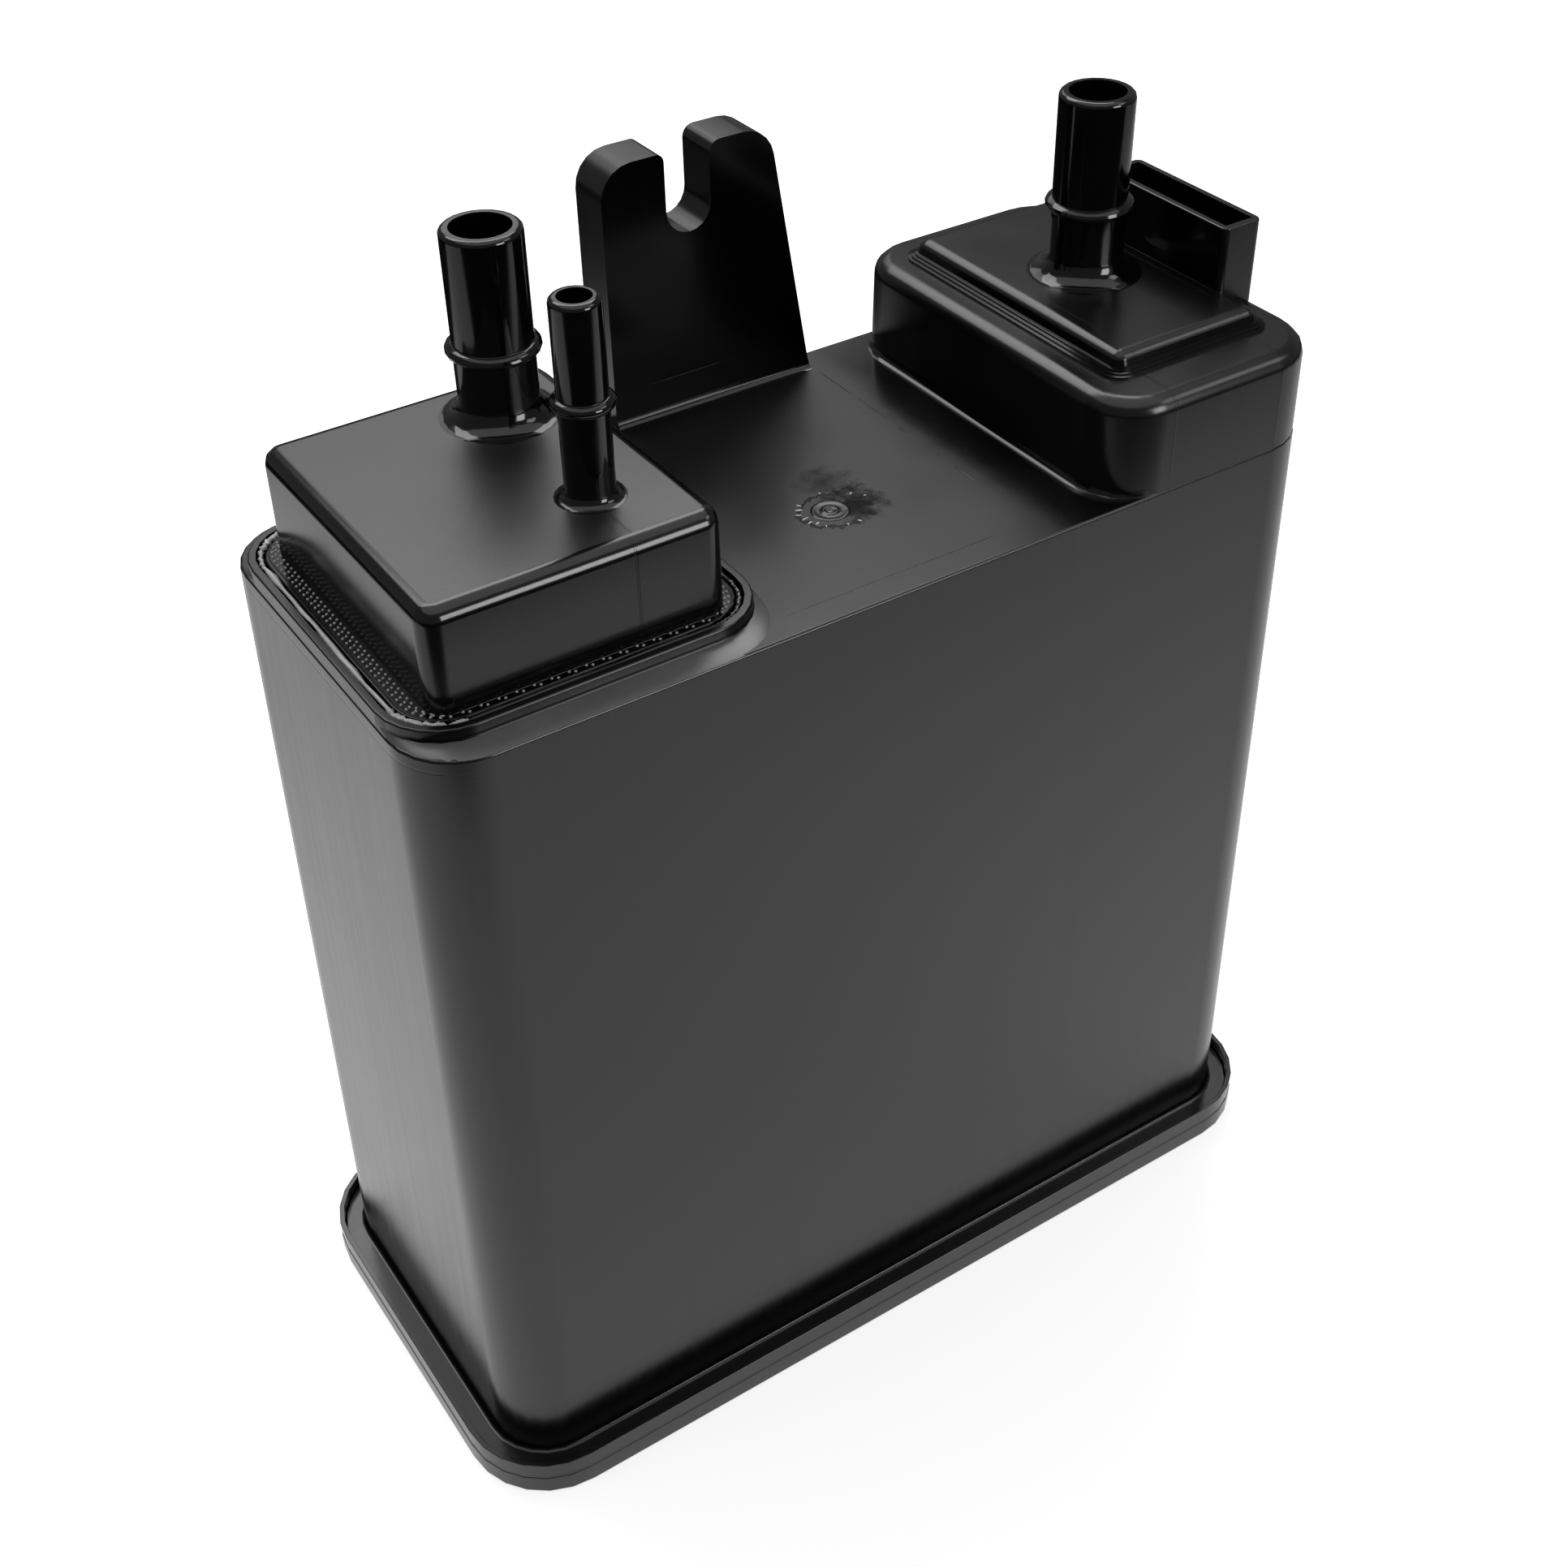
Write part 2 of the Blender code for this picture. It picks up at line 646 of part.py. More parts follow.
def tab_foot_fillet():
    """Concave fillet where the tab's front face meets the deck."""
    outline = [(TAB_FRONT + EMBED, DECK_HEIGHT - EMBED), (TAB_FRONT + EMBED, DECK_HEIGHT + TAB_FOOT_R)]
    for offset, height in reversed(foot_fillet(TAB_FOOT_R, DECK_HEIGHT)):
        outline.append((TAB_FRONT - offset, height))
    outline.append((TAB_FRONT - TAB_FOOT_R, DECK_HEIGHT - EMBED))
    right = tab_right(DECK_HEIGHT)
    inset = WITNESS_STEP
    return extruded_outline("tab_foot_fillet", outline, right - TAB_LEFT_X - 2 * inset,
                            facing_right((TAB_LEFT_X + right) / 2))


def tab_gussets():
    """Ribs that carry the tab's heel on the back wall."""
    foot = DECK_HEIGHT - GUSSET_DROP
    heel = DECK_HEIGHT - TAB_HEEL / 2
    inside = body_plan(foot).back - WALL / 2
    outline = [(DECK_PLAN.back - WALL / 2, heel), (inside, foot), (body_plan(foot).back + WITNESS_STEP, foot),
               (TAB_BACK - WITNESS_STEP, DECK_HEIGHT - TAB_HEEL - EMBED), (TAB_BACK - WITNESS_STEP, heel)]
    left = TAB_LEFT_X + GUSSET_WALL / 2 + WITNESS_STEP
    right = tab_right(DECK_HEIGHT) - GUSSET_WALL / 2 - WITNESS_STEP
    return [extruded_outline("tab_gusset_" + str(index), outline, GUSSET_WALL, facing_right(x))
            for index, x in enumerate((left, (left + right) / 2, right), start=1)]


def vent_center():
    return (dome_plan(DOME_TOP, 0.0, 0.0).right - VENT_FROM_RIGHT, VENT_CENTER_Y)


def vent_port():
    profile = port_profile(VENT_PORT_R, VENT_BEAD_R, VENT_FOOT_R, DECK_HEIGHT + VENT_PORT_TOP,
                           DECK_HEIGHT + VENT_BEAD_HEIGHT, PAD_TOP)
    return turned("vent_port", profile, vent_center())


def chamber_cutters():
    """Hollows of the body: two chambers open below, the dome's room and the passage under the partition."""
    below = BODY_FOOT - EMBED
    main = chamber_block("main_chamber", "main", below, ROOF, 0.0)
    vent = chamber_block("vent_chamber", "vent", below, ROOF, 0.0)
    dome_room = [dome_plan(height, 0.0, 0.0, DOME_WALL).ring(height) for height in (ROOF - EMBED, DOME_TOP - DOME_WALL)]
    passage = bmesh.new()
    side = chamber_plan("main", BODY_FOOT)
    box_into(passage, PARTITION_X - CORE_CORNER_R - PARTITION_WALL, PARTITION_X + CORE_CORNER_R + PARTITION_WALL,
             side.front + EMBED, side.back - EMBED, below, COVER_FLOOR + PARTITION_FOOT)
    return [main, vent, loft("dome_room", dome_room), mesh_object("passage", passage, tools)]


def canister_body(material):
    body = body_shell()
    for form in [dome(), dome_pad(), pocket(), mouth_lip(), mounting_tab(), tab_foot_fillet(), vent_port()]:
        combine(body, form, "UNION")
    for gusset in tab_gussets():
        combine(body, gusset, "UNION")
    for cutter in [*chamber_cutters(), mouth_recess(), mouth_opening(), pocket_cutter(), *tab_pockets()]:
        combine(body, cutter, "DIFFERENCE")
    bore = bore_cutter("vent_bore", VENT_BORE_R, vent_center(), DOME_TOP - DOME_WALL - EMBED,
                       DECK_HEIGHT + VENT_PORT_TOP + EMBED)
    combine(body, bore, "DIFFERENCE")
    return finish_part(body, material)


# Port cover
def port_cover_shell():
    """Flange and box cap of the port cover, as one lofted form."""
    flange = cover_flange_plan()
    base = SEAT + FIT_GAP
    top = DECK_HEIGHT + COVER_FLANGE_RISE
    rings = [flange.ring(base)]
    for offset, height in round_over(COVER_FLANGE_EDGE_R, top):
        rings.append(flange.grown(offset).ring(height))
    rings.append(cap_plan(top).ring(top))
    for offset, height in round_over(CAP_EDGE_R, CAP_TOP):
        rings.append(cap_plan(height).grown(offset).ring(height))
    return loft("port_cover", rings, parts)


def cap_rooms():
    """Two rooms inside the cap, for tank vapour behind and purge air in front."""
    base = SEAT + FIT_GAP - EMBED
    top = CAP_TOP - CAP_WALL
    divider = cap_plan(DECK_HEIGHT).back - CAP_DIVIDER_FROM_BACK
    rooms = []
    for name, sign in (("tank_room", 1), ("purge_room", -1)):
        rings = []
        for height in (base, top):
            plan = cap_plan(height, CAP_WALL)
            if sign > 0:
                plan.front = divider + CAP_DIVIDER_WALL / 2
            else:
                plan.back = divider - CAP_DIVIDER_WALL / 2
            rings.append(plan.ring(height))
        rooms.append(loft(name, rings))
    return rooms


def tank_center():
    plan = cap_plan(CAP_TOP)
    return (plan.right - TANK_FROM_RIGHT, plan.back - TANK_FROM_BACK)


def purge_center():
    plan = cap_plan(CAP_TOP)
    return (plan.right - PURGE_FROM_RIGHT, plan.front + PURGE_FROM_FRONT)


def port_cover(material):
    cover = port_cover_shell()
    ports = (
        ("tank", TANK_PORT_R, TANK_BEAD_R, TANK_FOOT_R, TANK_BORE_R, TANK_PORT_TOP, TANK_BEAD_HEIGHT, tank_center()),
        ("purge", PURGE_PORT_R, PURGE_BEAD_R, PURGE_FOOT_R, PURGE_BORE_R, PURGE_PORT_TOP, PURGE_BEAD_HEIGHT,
         purge_center()),
    )
    bores = []
    for name, tube_r, bead_r, foot_r, bore_r, top, bead_height, center in ports:
        profile = port_profile(tube_r, bead_r, foot_r, DECK_HEIGHT + top, DECK_HEIGHT + bead_height, CAP_TOP)
        combine(cover, turned(name + "_port", profile, center), "UNION")
        bores.append(bore_cutter(name + "_bore", bore_r, center, CAP_TOP - CAP_WALL - EMBED,
                                 DECK_HEIGHT + top + EMBED))
    for cutter in [*cap_rooms(), *bores]:
        combine(cover, cutter, "DIFFERENCE")
    return finish_part(cover, material)


# Springs, which stand on spigots of the bottom cover
def spring_centers(side):
    """Middle of each spring of a chamber, on a grid of equal cells."""
    plan = chamber_plan(side, BODY_FOOT)
    columns = 2 if side == "main" else 1
    rows = 2
    centers = []
    for column in range(columns):
        for row in range(rows):
            x = plan.left + (plan.right - plan.left) * (column + 0.5) / columns
            y = plan.front + (plan.back - plan.front) * (row + 0.5) / rows
            centers.append((x, y))
    return centers


def spring(name, center, material):
    """Compression spring whose two end turns lie flat."""
    low = SPRING_BASE + SPRING_WIRE / 2
    high = SPRING_BASE + SPRING_HEIGHT - SPRING_WIRE / 2
    count = round(SPRING_TURNS * COIL_STEPS)
    curve = bpy.data.curves.new(name + "_curve", "CURVE")
    curve.dimensions = "3D"
    curve.bevel_depth = SPRING_WIRE / 2
    curve.bevel_resolution = 2
    curve.use_fill_caps = True
    spline = curve.splines.new("POLY")
    spline.points.add(count)
    for index, point in enumerate(spline.points):
        turn = SPRING_TURNS * index / count
        rise = (turn - SPRING_END_TURN) / (SPRING_TURNS - 2 * SPRING_END_TURN)
        height = low + (high - low) * min(1.0, max(0.0, rise))
        angle = 2 * math.pi * turn
        point.co = (SPRING_RADIUS * math.cos(angle), SPRING_RADIUS * math.sin(angle), height, 1.0)
    placement = Matrix.Translation((center[0], center[1], 0.0))
    return finish_part(curve_to_mesh(name, curve, placement, parts), material)


def spigots(name, centers, base, top):
    """Round spigots that keep springs in place."""
    radius = SPRING_RADIUS - SPRING_WIRE / 2 - SPRING_SPIGOT_CLEARANCE
    bm = bmesh.new()
    for x, y in centers:
        place = Matrix.Translation((x, y, (base + top) / 2))
        bmesh.ops.create_cone(bm, cap_ends=True, segments=TURNED_STEPS, radius1=radius, radius2=radius,
                              depth=top - base, matrix=place)
    return mesh_object(name, bm, tools)


# Bottom cover
def bottom_cover(material):
    """Tray that closes the canister, with an upturned rim round the weld flange."""
    inner = body_plan(FLANGE_TOP).grown(FLANGE_WIDTH + FIT_GAP)
    outer = inner.grown(COVER_RIM_WALL)
    rings = []
    for offset, height in reversed(round_over(COVER_EDGE_R, COVER_EDGE_R)):
        rings.append(outer.grown(offset).ring(COVER_EDGE_R - height))
    rings.append(outer.ring(COVER_BAND))
    rings.append(outer.grown(-WITNESS_STEP).ring(COVER_BAND + WITNESS_STEP))
    rings.append(outer.grown(-WITNESS_STEP).ring(COVER_HEIGHT))
    cover = loft("bottom_cover", rings, parts)
    hollow = loft("cover_hollow", [inner.ring(COVER_FLOOR), inner.ring(COVER_HEIGHT + EMBED)])
    combine(cover, hollow, "DIFFERENCE")
    centers = spring_centers("main") + spring_centers("vent")
    combine(cover, spigots("cover_spigots", centers, COVER_FLOOR - EMBED, SPRING_BASE + SPRING_SPIGOT_HEIGHT), "UNION")
    ribs = bmesh.new()
    for side in ("main", "vent"):
        plan = chamber_plan(side, BODY_FOOT, COVER_RIB_END_GAP)
        box_into(ribs, plan.left, plan.right, -COVER_RIB_WALL / 2, COVER_RIB_WALL / 2, COVER_FLOOR - EMBED,
                 COVER_FLOOR + COVER_RIB_HEIGHT)
    combine(cover, mesh_object("cover_ribs", ribs, tools), "UNION")
    return finish_part(cover, material)


# Perforated plates and grids
def slot_cutter(name, plan, base, top, keep_clear=()):
    """Rows of slots through a plate, none of them over a spring spigot."""
    across = plan.right - plan.left - 2 * SLOT_MARGIN
    along = plan.back - plan.front - 2 * SLOT_MARGIN
    columns = int((across + SLOT_GAP) // (SLOT_LENGTH + SLOT_GAP))
    rows = int((along + SLOT_GAP) // (SLOT_WIDTH + SLOT_GAP))
    middle_x = (plan.left + plan.right) / 2
    middle_y = (plan.front + plan.back) / 2
    bm = bmesh.new()
    for column in range(columns):
        x = middle_x + (column - (columns - 1) / 2) * (SLOT_LENGTH + SLOT_GAP)
        for row in range(rows):
            y = middle_y + (row - (rows - 1) / 2) * (SLOT_WIDTH + SLOT_GAP)
            reach = SPRING_RADIUS + SLOT_WIDTH
            nearest = [Vector((max(0.0, abs(x - cx) - SLOT_LENGTH / 2), y - cy)).length for cx, cy in keep_clear]
            if nearest and min(nearest) < reach:
                continue
            box_into(bm, x - SLOT_LENGTH / 2, x + SLOT_LENGTH / 2, y - SLOT_WIDTH / 2, y + SLOT_WIDTH / 2, base, top)
    return mesh_object(name, bm, tools)


def pressure_plate(side, material):
    """Perforated plate that the springs press against the bed, with a skirt below."""
    name = "pressure_plate_" + side
    top = PLATE_UNDERSIDE + PLATE_THICKNESS
    skirt_base = PLATE_UNDERSIDE - PLATE_SKIRT
    plate = chamber_block(name, side, skirt_base, top, PLATE_CLEARANCE, parts)
    hollow = chamber_block(name + "_hollow", side, skirt_base - EMBED, PLATE_UNDERSIDE,
                           PLATE_CLEARANCE + PLATE_SKIRT_WALL)
    combine(plate, hollow, "DIFFERENCE")
    centers = spring_centers(side)
    combine(plate, spigots(name + "_spigots", centers, PLATE_UNDERSIDE - FIT_GAP - SPRING_SPIGOT_HEIGHT,
                           PLATE_UNDERSIDE + EMBED), "UNION")
    plan = chamber_plan(side, PLATE_UNDERSIDE)
    combine(plate, slot_cutter(name + "_slots", plan, PLATE_UNDERSIDE - EMBED, top + EMBED, centers), "DIFFERENCE")
    return finish_part(plate, material)


def top_grid(side, material):
    """Perforated grid that holds the bed down from the roof, with a rim above."""
    name = "top_grid_" + side
    grid = chamber_block(name, side, GRID_UNDERSIDE, GRID_RIM_TOP, FIT_GAP, parts)
    hollow = chamber_block(name + "_hollow", side, GRID_TOP, GRID_RIM_TOP + EMBED, FIT_GAP + PLATE_SKIRT_WALL)
    combine(grid, hollow, "DIFFERENCE")
    plan = chamber_plan(side, GRID_UNDERSIDE)
    combine(grid, slot_cutter(name + "_slots", plan, GRID_UNDERSIDE - EMBED, GRID_TOP + EMBED), "DIFFERENCE")
    return finish_part(grid, material)


def chamber_fill(side, carbon_material, foam_material):
    """Foam pads and the carbon bed between them."""
    finish_part(chamber_block("bottom_pad_" + side, side, LOW_PAD_BASE, LOW_PAD_BASE + BED_PAD_THICKNESS, FIT_GAP,
                              parts), foam_material)
    finish_part(chamber_block("carbon_" + side, side, CARBON_BASE, CARBON_TOP, FIT_GAP, parts), carbon_material)
    finish_part(chamber_block("top_pad_" + side, side, HIGH_PAD_BASE, HIGH_PAD_BASE + BED_PAD_THICKNESS, FIT_GAP,
                              parts), foam_material)


# Build
canister_body(make_material("body_plastic", (0.012, 0.012, 0.013), 0.38))
port_cover(make_material("port_cover_plastic", (0.013, 0.013, 0.014), 0.34))
bottom_cover(make_material("bottom_cover_plastic", (0.012, 0.012, 0.013), 0.42))
for chamber in ("main", "vent"):
    pressure_plate(chamber, make_material("plate_plastic_" + chamber, (0.10, 0.10, 0.10), 0.55))
    top_grid(chamber, make_material("grid_plastic_" + chamber, (0.10, 0.10, 0.10), 0.55))
    chamber_fill(chamber, make_material("carbon_" + chamber, (0.010, 0.010, 0.010), 0.95),
                 make_material("foam_" + chamber, (0.22, 0.22, 0.21), 0.95))
    for number, middle in enumerate(spring_centers(chamber), start=1):
        spring("spring_" + chamber + "_" + str(number), middle,
               make_material("spring_steel_" + chamber + "_" + str(number), (0.45, 0.45, 0.46), 0.30, 1.0))
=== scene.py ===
# %% [markdown]
# # A welded charcoal canister, dressed for a photograph
# The canister catches fuel vapour from a tank. It is three black nylon mouldings welded together: a tall body, a
# cover with two hose ports, and a tray at the bottom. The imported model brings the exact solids. This lesson turns them
# into smooth moulded parts and adds what a mould and a welder leave behind: grain, draw streaks, knurling, weld flash
# and a gate scar.
#
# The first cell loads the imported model. Its solids never move; everything else is placed by their numbers.

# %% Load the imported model
import json
import math

import bpy
from mathutils import Matrix, Vector

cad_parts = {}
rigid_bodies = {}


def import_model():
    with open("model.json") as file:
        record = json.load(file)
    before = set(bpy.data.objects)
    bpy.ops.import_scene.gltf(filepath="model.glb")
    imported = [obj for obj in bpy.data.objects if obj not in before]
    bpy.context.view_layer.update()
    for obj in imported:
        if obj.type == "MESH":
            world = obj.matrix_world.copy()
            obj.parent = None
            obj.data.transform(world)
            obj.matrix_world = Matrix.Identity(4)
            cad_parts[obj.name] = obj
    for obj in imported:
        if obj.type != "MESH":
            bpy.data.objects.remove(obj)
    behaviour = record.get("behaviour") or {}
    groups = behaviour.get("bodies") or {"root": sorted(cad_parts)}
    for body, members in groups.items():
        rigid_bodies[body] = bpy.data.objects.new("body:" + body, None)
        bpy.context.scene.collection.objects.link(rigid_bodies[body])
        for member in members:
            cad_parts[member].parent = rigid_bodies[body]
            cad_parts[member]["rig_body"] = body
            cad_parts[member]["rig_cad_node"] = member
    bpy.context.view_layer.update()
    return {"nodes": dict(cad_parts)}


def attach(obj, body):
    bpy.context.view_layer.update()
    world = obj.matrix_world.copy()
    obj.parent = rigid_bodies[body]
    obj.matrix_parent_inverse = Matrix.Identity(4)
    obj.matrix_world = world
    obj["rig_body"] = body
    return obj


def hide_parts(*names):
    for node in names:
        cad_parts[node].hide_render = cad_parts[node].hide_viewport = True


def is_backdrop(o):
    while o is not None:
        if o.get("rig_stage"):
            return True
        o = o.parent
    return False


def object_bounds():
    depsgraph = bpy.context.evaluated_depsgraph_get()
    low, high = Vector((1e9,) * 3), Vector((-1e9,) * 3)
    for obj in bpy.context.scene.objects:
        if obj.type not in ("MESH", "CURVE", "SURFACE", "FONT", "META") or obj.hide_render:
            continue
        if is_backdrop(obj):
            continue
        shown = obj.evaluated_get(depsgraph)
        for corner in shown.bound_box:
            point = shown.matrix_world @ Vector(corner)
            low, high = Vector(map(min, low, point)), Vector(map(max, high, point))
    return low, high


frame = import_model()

MM = 0.001

# %% [markdown]
# ## Small helpers
# Blender's operators act on whatever is selected, so each step first selects one thing only. The first helper does
# that. The second bakes an object's place into its mesh, because every finished piece sits at the origin unturned. The
# third applies an object's modifiers, so that the mesh itself has the final shape. The fourth joins pieces that were
# made one by one.


# %% Helpers for selecting and settling a piece
def only(thing):
    """Selects one object and nothing else."""
    if bpy.context.object and bpy.context.object.mode != "OBJECT":
        bpy.ops.object.mode_set(mode="OBJECT")
    bpy.ops.object.select_all(action="DESELECT")
    thing.select_set(True)
    bpy.context.view_layer.objects.active = thing
    return thing


def settle(thing, name):
    """Names a piece and moves its place, turn and scale into its mesh."""
    only(thing)
    bpy.ops.object.transform_apply(location=True, rotation=True, scale=True)
    thing.name = thing.data.name = name
    return thing


def apply_modifiers(thing):
    """Applies every modifier in its order."""
    only(thing)
    for modifier in list(thing.modifiers):
        bpy.ops.object.modifier_apply(modifier=modifier.name)
    return thing


def joined(pieces, name):
    """Joins pieces into the first of them."""
    bpy.ops.object.select_all(action="DESELECT")
    for piece in pieces:
        piece.select_set(True)
    bpy.context.view_layer.objects.active = pieces[0]
    bpy.ops.object.join()
    return settle(bpy.context.object, name)


def faces_of(thing):
    return len(thing.data.polygons)


# %% [markdown]
# ## The camera
# The photograph looks down at the left front corner from about half a metre. A camera set by eye never makes all the
# edges fall where they fall in a photograph, so the lens and the place of this one were worked out from the object's
# own straight edges. A camera looks along its own -Z, so its three turns are written as the three axes of a matrix: to
# the right, up in the picture, and backwards.

# %% Place the camera
EYE = Vector((-204.129, -313.584, 425.989)) * MM
YAW, PITCH, ROLL = 0.57185, 0.67620, 0.02033
FOCAL_IN_PIXELS, PHOTO_SIDE, SENSOR = 2604.2, 1932, 36.0
NEAREST, FARTHEST = 0.01, 20

forward = Vector((math.sin(YAW) * math.cos(PITCH), math.cos(YAW) * math.cos(PITCH), -math.sin(PITCH)))
level_right = Vector((math.cos(YAW), -math.sin(YAW), 0))
level_down = forward.cross(level_right)
right = math.cos(ROLL) * level_right + math.sin(ROLL) * level_down
down = math.cos(ROLL) * level_down - math.sin(ROLL) * level_right

bpy.ops.object.camera_add(location=EYE)
camera = bpy.context.object
camera.name = "photo_camera"
axes = Matrix((right, -down, -forward)).transposed()
camera.rotation_euler = axes.to_euler()
camera.data.sensor_width = SENSOR
camera.data.lens = SENSOR * FOCAL_IN_PIXELS / PHOTO_SIDE
camera.data.clip_start, camera.data.clip_end = NEAREST, FARTHEST
bpy.context.scene.camera = camera
bpy.context.scene.view_settings.view_transform = "Standard"
print("lens in mm:", round(camera.data.lens, 2), "distance in m:", round(EYE.length, 3))

# %% [markdown]
# ## The studio
# A black glossy thing shows what stands round it more than its own colour, so the studio is part of the finish. The
# floor is a wide pale disc and the world is white. One softbox hangs behind and above, and gives the thin bright lines
# on the edges. A dimmer one stands lower behind: the flat tops reflect it, and go dark where it ends.
#
# Stronger lamps would whiten the floor, but they would turn the black plastic grey as well. So the floor and the world
# are lifted to white only for the rays that come straight from the camera, or from a glossy or clear surface. No extra
# light falls on the canister, and its shadow stays on the floor.


# %% Helpers for materials
def new_material(name):
    """A node material with its shader ready to be fed."""
    material = bpy.data.materials.new(name)
    material.use_nodes = True
    tree = material.node_tree
    return material, tree.nodes, tree.links, tree.nodes["Principled BSDF"]


def feed(links, sockets, values):
    """Gives each input socket its number, or the socket of another node."""
    for socket, value in zip(sockets, values):
        if isinstance(value, bpy.types.NodeSocket):
            links.new(value, socket)
        elif value is not None:
            socket.default_value = value


def math_node(nodes, operation, first=None, second=None, links=None, clamp=False):
    """A Math node whose inputs are numbers or the sockets of other nodes."""
    node = nodes.new("ShaderNodeMath")
    node.operation, node.use_clamp = operation, clamp
    feed(links, node.inputs, (first, second))
    return node.outputs[0]


def vector_node(nodes, links, operation, first, second=None):
    """A Vector Math node fed by sockets or plain values."""
    node = nodes.new("ShaderNodeVectorMath")
    node.operation = operation
    feed(links, node.inputs, (first, second))
    return node


def seen_rays(nodes, links):
    """1 for a ray from the camera or from a glossy or clear surface, and 0 for a ray that only brings light."""
    rays = nodes.new("ShaderNodeLightPath")
    seen = math_node(nodes, "MAXIMUM", rays.outputs["Is Camera Ray"], rays.outputs["Is Glossy Ray"], links)
    return math_node(nodes, "MAXIMUM", seen, rays.outputs["Is Transmission Ray"], links)


# %% The floor
FLOOR_RADIUS, FLOOR_SHADE, FLOOR_LIFT = 3.0, 0.74, 0.68
bpy.ops.object.select_all(action="DESELECT")
bpy.ops.mesh.primitive_circle_add(vertices=96, radius=FLOOR_RADIUS, fill_type="NGON", location=(0, 0, 0))
floor = settle(bpy.context.object, "studio_floor")
floor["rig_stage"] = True
material, nodes, links, shader = new_material("pale_floor")
shader.inputs["Base Color"].default_value = (FLOOR_SHADE, FLOOR_SHADE, FLOOR_SHADE, 1)
shader.inputs["Roughness"].default_value = 0.9
shader.inputs["Specular IOR Level"].default_value = 0.1
shader.inputs["Emission Color"].default_value = (1, 1, 1, 1)
lift = math_node(nodes, "MULTIPLY", seen_rays(nodes, links), FLOOR_LIFT, links)
links.new(lift, shader.inputs["Emission Strength"])
floor.data.materials.append(material)
print("floor shade and lift:", FLOOR_SHADE, FLOOR_LIFT)

# %% The world
WORLD_LIGHT, WORLD_SEEN = 0.55, 1.0              # its strength as a light, and where it is seen
world = bpy.data.worlds.new("white_room")
bpy.context.scene.world = world
world.use_nodes = True
nodes, links = world.node_tree.nodes, world.node_tree.links
share = math_node(nodes, "MULTIPLY", seen_rays(nodes, links), WORLD_SEEN - WORLD_LIGHT, links)
links.new(math_node(nodes, "ADD", share, WORLD_LIGHT, links), nodes["Background"].inputs["Strength"])
nodes["Background"].inputs["Color"].default_value = (1, 1, 1, 1)
print("world strength as a light and as seen:", WORLD_LIGHT, WORLD_SEEN)

# %% The softboxes
AIM = Vector((0, 0, 0.2))                        # the lamps look at a point near the deck
LAMP_REACH = 1.5
# Each lamp: its azimuth from +Y towards +X and its angle over the horizon, its width, height and power
SOFTBOXES = [("high_softbox", 13, 51, 1.6, 0.58, 10.6), ("back_softbox", 20, 32, 0.67, 0.50, 1.1)]


def seen_at(azimuth, height_angle, reach):
    """The place that is seen from AIM at an azimuth and an angle over the horizon, in degrees."""
    turn, rise = math.radians(azimuth), math.radians(height_angle)
    flat = reach * math.cos(rise)
    return AIM + Vector((flat * math.sin(turn), flat * math.cos(turn), reach * math.sin(rise)))


for name, azimuth, height_angle, width, height, power in SOFTBOXES:
    place = seen_at(azimuth, height_angle, LAMP_REACH)
    bpy.ops.object.light_add(type="AREA", location=place)
    lamp = bpy.context.object
    lamp.name = name
    lamp.data.shape = "RECTANGLE"
    lamp.data.size, lamp.data.size_y, lamp.data.energy = width, height, power
    lamp.rotation_euler = (AIM - place).to_track_quat("-Z", "Y").to_euler()
    print(name, "at", [round(v, 2) for v in place])

# %% [markdown]
# ### What only reflections see
# Three things stand where the photographer's room was, and only reflections see them. A dim cylinder is the room. Two
# pale cards in front of the table give the front edges their second bright line. A dark veil lies on the floor and
# gives the table its ends: past them a reflection sees no white, so tubes and upright corners turn black in the middle.
# An image of a real studio could do the same, but simple shapes can be moved one at a time until each edge is right.

# %% The room and the cards
ROOM_RADIUS, ROOM_HEIGHT, ROOM_GLOW, CARD_REACH = 2.0, 2.5, 0.16, 1.6
# Each card: its azimuth, its angle over the horizon, its width, height and glow
CARDS = [("low_front_card", 157, 15, 0.60, 0.72, 8.0), ("side_card", 126, 38, 0.55, 0.42, 3.0)]


def only_reflected(thing, name, glow=0.0):
    """A stage piece that only reflections see, with the strength of its glow."""
    settle(thing, name)
    thing.visible_camera = thing.visible_diffuse = thing.visible_shadow = False
    thing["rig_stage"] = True
    material, nodes, links, shader = new_material(name + "_cloth")
    shader.inputs["Base Color"].default_value = (0.01, 0.01, 0.01, 1)
    shader.inputs["Roughness"].default_value = 1.0
    shader.inputs["Specular IOR Level"].default_value = 0.0
    shader.inputs["Emission Color"].default_value = (1, 1, 1, 1)
    shader.inputs["Emission Strength"].default_value = glow
    thing.data.materials.append(material)
    print("only reflected:", name, "glow", glow)
    return nodes, links, shader


bpy.ops.object.select_all(action="DESELECT")
bpy.ops.mesh.primitive_cylinder_add(vertices=96, radius=ROOM_RADIUS, depth=ROOM_HEIGHT, end_fill_type="NOTHING",
                                    location=(0, 0, ROOM_HEIGHT / 2))
only_reflected(bpy.context.object, "dim_room", ROOM_GLOW)

for name, azimuth, height_angle, width, height, glow in CARDS:
    place = seen_at(azimuth, height_angle, CARD_REACH)
    bpy.ops.object.select_all(action="DESELECT")
    bpy.ops.mesh.primitive_plane_add(size=1, location=place)
    card = bpy.context.object
    card.scale = (width, height, 1)
    card.rotation_euler = (place - AIM).to_track_quat("-Z", "Y").to_euler()
    only_reflected(card, name, glow)

